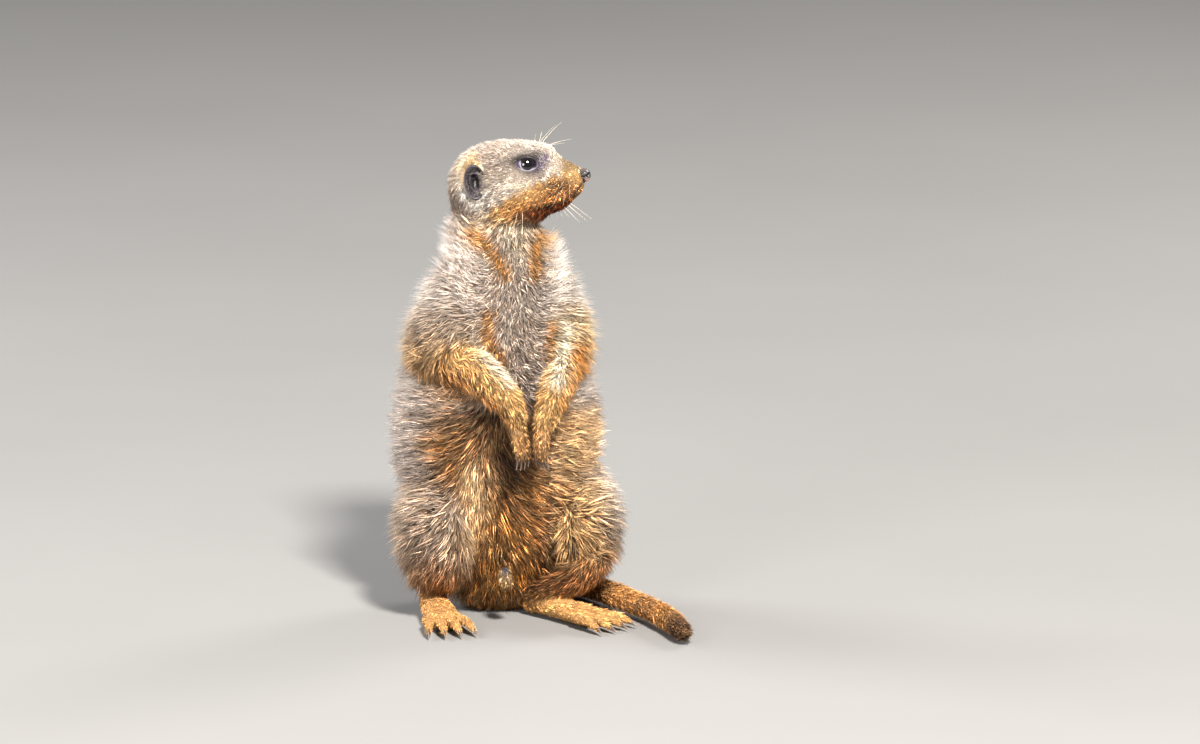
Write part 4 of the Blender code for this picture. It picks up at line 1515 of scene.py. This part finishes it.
def make_nose():
    """A rounded pad with two comma nostrils and a groove down its middle."""
    steps, rows = 96, 64
    polar, turn = np.meshgrid(
        math.pi * np.arange(1, rows) / rows, math.tau * np.arange(steps) / steps, indexing="ij"
    )
    ball = np.stack([np.cos(polar), np.sin(polar) * np.cos(turn), np.sin(polar) * np.sin(turn)], -1)
    points = (np.copysign(np.abs(ball) ** 0.86, ball) * NOSE_HALF).reshape(-1, 3)
    s, w, t = points.T
    side = np.abs(w)
    ahead = smooth_step(-0.6, 1.2, s)
    narrow = 1 - 0.26 * smooth_step(0, -4, t)
    dent = 1.5 * np.exp(-(((side - 2.35) / 0.75) ** 2 + ((t - 0.1) / 0.8) ** 2)) * ahead
    slit = np.exp(-(((t + 0.2 + 0.35 * (side - 2.4)) / 0.42) ** 2)) * smooth_step(2.2, 2.9, side)
    dent = dent + 0.95 * slit * smooth_step(5.2, 4.0, side) * smooth_step(-2.4, -1.0, s)
    groove = 0.5 * np.exp(-((side / 0.35) ** 2)) * smooth_step(0.6, -0.6, t) * ahead
    wing = 0.35 * np.exp(-(((side - 3.6) / 0.8) ** 2 + ((t - 1.2) / 1.0) ** 2)) * ahead
    points = points - unit(points / NOSE_HALF**2) * (dent + groove - wing)[:, None]
    points[:, 1] *= narrow
    pink = smooth_step(-1.2, -2.6, points[:, 2]) * smooth_step(0.4, 1.6, points[:, 0])
    colour = np.broadcast_to(rgb(36, 31, 33), points.shape)
    # The top of the pad is painted lighter: a painted highlight on the wet nose.
    colour = blend(colour, rgb(96, 84, 78), 0.6 * smooth_step(1.6, 3.4, points[:, 2]))
    colour = blend(colour, rgb(196, 150, 146), 0.75 * pink * (1 - np.exp(-((side / 0.5) ** 2))))
    # The nostrils are painted near black, more where they are deeper: painted shade.
    colour = blend(colour, rgb(14, 11, 12), dent / 0.8)
    shape = bmesh.new()
    placed = (points + NOSE_PLACE).reshape(rows - 1, steps, 3)
    add_loft(shape, [[in_head(*point) for point in row] for row in placed])
    mesh = mesh_of("nose_pad", shape)
    paint(mesh, np.vstack([colour, colour[:1], colour[-1:]]))
    pad = as_piece("nose_pad", mesh, NOSE)
    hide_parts("nose")


EAR_BACK, EAR_FRONT, EAR_RISE = 4.4, 6.2, 9.2  # reach of the ear's cup from its middle


def ear_height(angle, radius):
    """How far the ear's surface stands off its root at an angle about its middle (0 at the back)."""
    tall = np.clip(0.35 + 0.65 * np.cos(angle / 1.3), 0, 1)
    rim = 4.6 * tall * np.exp(-(((radius - 1.0) / 0.14) ** 2))
    bowl = -3.6 * np.exp(-((radius / 0.62) ** 2))
    fold_shape = np.exp(-(((radius - 0.58 - 0.05 * np.sin(3 * angle)) / 0.1) ** 2))
    fold = 1.9 * fold_shape * smooth_step(2.5, 1.4, np.abs(angle - 0.4))
    knob = 1.6 * np.exp(-(((radius - 0.45) / 0.16) ** 2 + ((np.abs(angle) - 2.7) / 0.5) ** 2))
    return rim + bowl + fold + knob


def make_ear(name, sign):
    """A cup with a raised rim behind, folds inside it and a dark hollow."""
    steps, rows = 120, 44
    forward, sideways, up = EAR_PLACE
    angles = np.linspace(-math.pi, math.pi, steps, endpoint=False)
    radius, angle = np.meshgrid(np.linspace(0.04, 1.32, rows), angles, indexing="ij")
    height = ear_height(angle, radius)
    lean = 0.16 * np.clip(height, 0, None)
    back = np.where(np.cos(angle) < 0, EAR_FRONT, EAR_BACK)
    s = forward - np.cos(angle) * radius * back - lean * np.cos(angle) * 0.8
    t = up + np.sin(angle) * radius * EAR_RISE + lean * np.sin(angle) * 0.5
    w = sideways + height - 2.0 * smooth_step(1.12, 1.32, radius) - 0.05 * (s - forward)
    cup = np.stack([s, w, t], -1)
    cup[..., 1] += 0.08 * waves(cup.reshape(-1, 3), 2.2, 8, 1).reshape(s.shape)
    cup = np.concatenate([cup, cup[-1:] - [0, 2.5, 0]]) * [1, sign, 1]
    shape = bmesh.new()
    add_loft(shape, [[in_head(*point) for point in row] for row in cup])
    mesh = mesh_of("ear_cup_" + name, shape)
    radius, angle = radius.ravel(), angle.ravel()
    rim = np.exp(-(((radius - 0.95) / 0.08) ** 2)) * smooth_step(-0.2, 0.4, np.cos(angle / 1.3))
    ridge = np.exp(-(((radius - 0.58) / 0.09) ** 2))
    colour = np.broadcast_to(rgb(22, 18, 21), (rows * steps, 3))
    colour = blend(colour, rgb(84, 76, 84), 0.75 * rim)
    colour = blend(colour, rgb(76, 66, 74), 0.6 * ridge)
    colour = blend(colour, CREAM * 0.7, smooth_step(1.08, 1.2, radius))
    extra = len(mesh.vertices) - rows * steps
    paint(mesh, np.vstack([colour, np.repeat(colour[-1:], extra, axis=0)]))
    ear = as_piece("ear_cup_" + name, mesh, BARE)
    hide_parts("ear_" + name)
    ear_fringe(name, sign)


def ear_fringe(name, sign):
    """Hair behind and below the ear, from its front edge, and short down inside its rim.

    Each tuft's root, the way out of the skin there and the way that it lies are forward, sideways
    and up in the head.
    """
    rng = np.random.default_rng(5 + (sign > 0))
    forward, sideways, up = EAR_PLACE

    def on_ear(angle, radius, height, back=EAR_BACK, rise=EAR_RISE):
        ahead = forward - np.cos(angle) * radius * back
        return np.stack([ahead, sideways + height, up + np.sin(angle) * radius * rise], 1)

    def outwards(angle):
        return np.stack([-np.cos(angle), np.zeros(len(angle)), np.sin(angle)], 1)

    def behind(count):
        angle = rng.normal(0, 0.95, count).clip(-2.2, 2.2)
        radius = rng.uniform(1.06, 1.3, count)
        root = on_ear(angle, radius, ear_height(angle, radius) * 0.9)
        way = outwards(angle)
        low, high = smooth_step(0.2, -0.5, np.sin(angle)), smooth_step(0.3, 0.8, np.sin(angle))
        colour = blend(np.broadcast_to(CREAM, root.shape), WHITE, low)
        return root, way * [0.75, 0, 0.75] + [-0.25, 0.85, 0], way, blend(colour, rgb(176, 150, 108), high)

    def below(count):
        angle = rng.uniform(-1.75, -0.1, count)
        radius = rng.uniform(1.08, 1.45, count)
        root = on_ear(angle, radius, np.full(count, -1.2), 4.8, 9.0)
        way = outwards(angle)
        return root, way * 0.35 + [0, 1, 0], way + [0, 0, -0.35], WHITE

    def ahead(count):
        rise = rng.uniform(-0.95, 0.8, count)
        s = forward + 6.2 * np.sqrt(1 - rise**2) + rng.normal(0, 0.5, count)
        root = np.stack([s, np.full(count, sideways - 0.8), up + rise * 8.4], 1)
        way = np.stack([-np.ones(count), np.full(count, 0.5), -0.3 - 0.3 * rise], 1)
        return root, np.broadcast_to([-0.2, 1.0, 0.0], root.shape), way, GREY

    def inside(count):
        angle = rng.uniform(-2.3, 2.3, count)
        radius = rng.uniform(0.66, 1.08, count)
        root = on_ear(angle, radius, ear_height(angle, radius))
        colour = rgb(72, 64, 70) * np.exp(rng.normal(0, 0.5, (count, 1)))
        return root, np.broadcast_to([0.3, 1.0, 0.0], root.shape), -outwards(angle), colour

    parts = (  # how it grows, how many tufts, their length, width, lift and bend
        (behind, 1300, 3.8, 0.36, 34, 12), (below, 520, 4.4, 0.42, 30, 12),
        (ahead, 340, 3.0, 0.3, 34, 10), (inside, 620, 1.5, 0.2, 40, 20),
    )
    grown = [grow(count) for grow, count, *_ in parts]
    tufts = []
    for (root, out, way, colour), (_, count, length, width, lift, bend) in zip(grown, parts):
        normal = unit(out * [1, sign, 1]) @ HEAD_AXES
        flow = unit(unit(way * [1, sign, 1]) @ HEAD_AXES + rng.normal(0, 0.2, (count, 3)))
        tufts.append((
            np.array(HEAD_CENTRE) + root * [1, sign, 1] @ HEAD_AXES,
            normal,
            unit(flow - (flow * normal).sum(1, keepdims=True) * normal),
            length * np.exp(rng.normal(0, 0.25, count)),
            width * rng.uniform(0.7, 1.2, count),
            np.radians(lift + rng.normal(0, 9, count)),
            np.radians(bend + rng.normal(0, 9, count)),
            np.broadcast_to(colour, (count, 3)),
        ))
    *sizes, colour = (np.concatenate(values) for values in zip(*tufts))
    stops = grizzled(colour, rng, (0,), light=0.5, dark=0.12, tone=0.2, root=0.35)
    local = head_coordinates(sizes[0])
    chart = np.stack([0.5 + (local[:, 0] - forward) / 20, 0.5 + (local[:, 2] - up) / 30], 1)
    spikes("ear_hair_" + name, *sizes, stops, chart, (0,), "fur_head")


# ---- Whiskers and claws --------------------------------------------------------------


def add_whisker(shape, root, way, length, sag, radius):
    """A tapered bristle that curves down under its own weight."""
    steps, sides = 9, 5
    rings = []
    for k in range(steps):
        t = k / (steps - 1)
        centre = root + way * length * t + Vector((0, 0, -sag)) * length * t * t
        tangent = (way + Vector((0, 0, -sag)) * 2 * t).normalized()
        side = tangent.cross(UP).normalized()
        over = side.cross(tangent)
        here = radius * (1 - 0.85 * t)
        angles = [math.tau * j / sides for j in range(sides)]
        rings.append([centre + (side * math.cos(a) + over * math.sin(a)) * here for a in angles])
    add_loft(shape, rings)


BRISTLES = (  # forward, up and sideways in the head, and how far ahead, up and out each reaches
    (24, 20.5, 7, 0.75, 0.75, 19), (27, 18.5, 8, 0.95, 0.25, 15), (22, 20.5, 9, 0.3, 0.9, 9),
    (11, -14, 17, -0.1, -0.95, 12), (9, -13, 18, -0.35, -0.9, 10),
)
CHIN_BRISTLES = (21, 19, 17, 11, 9, 8, 7)  # lengths, from the front


def make_whiskers():
    """Rows of whiskers on the muzzle, and bristles over the eyes, on the cheeks and the chin."""
    rng = np.random.default_rng(9)
    shape = bmesh.new()
    for sign in (1, -1):
        for row in range(3):
            for column in range(4):
                s = 41 - column * 2.6
                t = -1.5 - row * 2.2 - column * 0.3
                root = in_head(s, sign * (7.2 + column * 1.1 - row * 0.3), t)
                way = FORWARD * (0.35 - 0.22 * column) + SIDEWAYS * sign * 0.9
                way = way + HEAD_UP * (-0.12 - 0.22 * row) + Vector(rng.normal(0, 0.07, 3))
                add_whisker(shape, root, way.normalized(), 7 + 2.4 * column, 0.12, 0.08)
        for s, t, w, ahead, rise, length in BRISTLES:
            root = in_head(s, sign * w, t)
            way = FORWARD * ahead + HEAD_UP * rise + SIDEWAYS * sign * 0.3
            add_whisker(shape, root, way.normalized(), length, 0.16, 0.12)
    for k, length in enumerate(CHIN_BRISTLES):
        s = 33 - 1.6 * k
        root = in_head(s, rng.uniform(-4, 4), -12.5 - 0.45 * k)
        way = FORWARD * (0.72 - 0.1 * k) + HEAD_UP * -0.62 + SIDEWAYS * rng.uniform(-0.2, 0.3)
        add_whisker(shape, root, way.normalized(), length, 0.05, 0.13)
    mesh = mesh_of("whiskers", shape)
    paint(mesh, rgb(228, 214, 190))
    as_piece("whiskers", mesh, WHISKER)


def make_claws():
    """Each claw as a curved horn with a keel, in place of its plain solid."""
    limbs = (
        ("hand_right", HAND_RIGHT, HAND_FAN_RIGHT, None, FINGER),
        ("hand_left", HAND_LEFT, HAND_FAN_LEFT, None, FINGER),
        ("foot_right", FOOT_RIGHT, fan_of(FOOT_RIGHT), UP, TOE),
        ("foot_left", FOOT_LEFT, fan_of(FOOT_LEFT), UP, TOE),
    )
    for limb, palm, fan, back, sizes in limbs:
        over = back or fan.cross(UP).normalized()
        droop = TOE_LIFT if back else Vector()
        for k, (_, tip, way) in enumerate(digit_stations(palm, fan, over, droop, sizes)):
            radius, length = sizes["radius"] * 0.42, sizes["claw"]
            points = []
            for step in range(6):
                t = step / 5
                here = tip + way * (length * t - 1.2 * (1 - t)) - over * length * 0.26 * t * t
                half = radius * (1 - t) ** 0.7 + 0.14
                points.append((*here, half * 0.85, half * 1.15, half * 1.05))
            rings = loft_rings(points, over, 14, 16, (0.5, 0.12), power=1.8)
            rings = [[Vector((p.x, p.y, max(p.z, FLOOR_CLEAR))) for p in loop] for loop in rings]
            shape = bmesh.new()
            add_loft(shape, rings)
            name = f"horn_{limb}_{k + 1}"
            mesh = mesh_of(name, shape)
            share = np.clip((read_points(mesh) - np.array(tip)) @ np.array(way) / length, 0, 1)
            dark_horn = np.broadcast_to(rgb(48, 38, 34), (len(share), 3))
            paint(mesh, blend(dark_horn, rgb(112, 96, 84), share**1.5))
            horn = as_piece(name, mesh, HORN)
            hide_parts(f"claw_{limb}_{k + 1}")


# ---- The whole -----------------------------------------------------------------------


SKIN_PAINTED_SHADE = 0.3  # the skin's colour as a share of the coat's, darker as painted shade: it is seen only between tufts


def make_skin():
    mesh = skin_mesh()
    field = Field(mesh)
    # The skin is painted darker than the coat: painted shade between the tufts.
    paint(mesh, field.colours * SKIN_PAINTED_SHADE)
    skin = as_piece("skin", mesh, SKIN)
    flesh = ["head", "neck", "trunk", "tail_base", "tail_middle", "tail_end"]
    for side in ("right", "left"):
        flesh += [part + side for part in ("upper_arm_", "forearm_", "hand_", "thigh_", "shank_", "foot_")]
    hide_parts(*flesh)
    return field


def make_stage():
    bpy.ops.mesh.primitive_plane_add(size=40)
    floor = bpy.context.object
    floor.name = "stage_floor"
    made, nodes, links, shader = new_material("stage_pale", 0.85, specular=0.1)
    noise = add_noise(nodes, links, 3.0)
    ramp = nodes.new("ShaderNodeValToRGB")
    ramp.color_ramp.elements[0].color = (0.185, 0.181, 0.176, 1)
    ramp.color_ramp.elements[1].color = (0.21, 0.206, 0.2, 1)
    links.new(noise.outputs["Fac"], ramp.inputs["Fac"])
    links.new(ramp.outputs["Color"], shader.inputs["Base Color"])
    floor.data.materials.append(made)


MIDDLE = (0.0, 0.0, 0.15)  # what the lamps are turned to, m
LAMPS = (  # name, place and width in metres, watts, colour
    ("key", (0.5, -1.86, 1.98), 0.34, 245, (1.0, 0.965, 0.91)),
    ("fill", (-1.1, -1.9, 0.9), 0.7, 32, (1.0, 0.97, 0.94)),
    ("rim_right", (1.3, 1.3, 1.3), 0.7, 38, (1.0, 0.98, 0.95)),
    ("rim_left", (-1.6, 0.7, 1.3), 0.8, 50, (0.97, 0.98, 1.0)),
)


def add_lamp(name, place, width, watts, colour):
    data = bpy.data.lights.new(name, "AREA")
    data.size = width
    data.energy = watts
    data.color = colour
    lamp = bpy.data.objects.new(name, data)
    lamp.location = place
    lamp.rotation_euler = (Vector(MIDDLE) - Vector(place)).to_track_quat("-Z", "Y").to_euler()
    bpy.context.scene.collection.objects.link(lamp)


def make_lights():
    for lamp in LAMPS:
        add_lamp(*lamp)
    world = bpy.data.worlds.new("studio")
    world.use_nodes = True
    sky = world.node_tree.nodes["Background"]
    sky.inputs["Color"].default_value = (0.9, 0.92, 0.96, 1)
    sky.inputs["Strength"].default_value = 0.25
    bpy.context.scene.world = world
    bpy.context.scene.view_settings.view_transform = "Standard"


CAMERA_AIM = (54.6, 10, 141.1)  # what the middle of the picture shows, table mm
CAMERA_FAR = 8.0
CAMERA_ELEVATION = math.radians(12)
PICTURE_WIDTH = 0.69  # metres across the picture at the aim


def make_camera():
    data = bpy.data.cameras.new("camera")
    data.sensor_width = 36
    data.lens = 36 * CAMERA_FAR / PICTURE_WIDTH
    data.clip_end = 50
    camera = bpy.data.objects.new("camera", data)
    aim = Vector(in_frame(CAMERA_AIM))
    back = Vector((0, -math.cos(CAMERA_ELEVATION), math.sin(CAMERA_ELEVATION)))
    camera.location = aim + back * CAMERA_FAR
    camera.rotation_euler = (-back).to_track_quat("-Z", "Y").to_euler()
    bpy.context.scene.collection.objects.link(camera)
    bpy.context.scene.camera = camera


make_camera()
field = make_skin()
make_coat(field)
make_eyes()
make_nose()
for ear_name, ear_sign in (("right", 1), ("left", -1)):
    make_ear(ear_name, ear_sign)
make_whiskers()
make_claws()
make_stage()
make_lights()
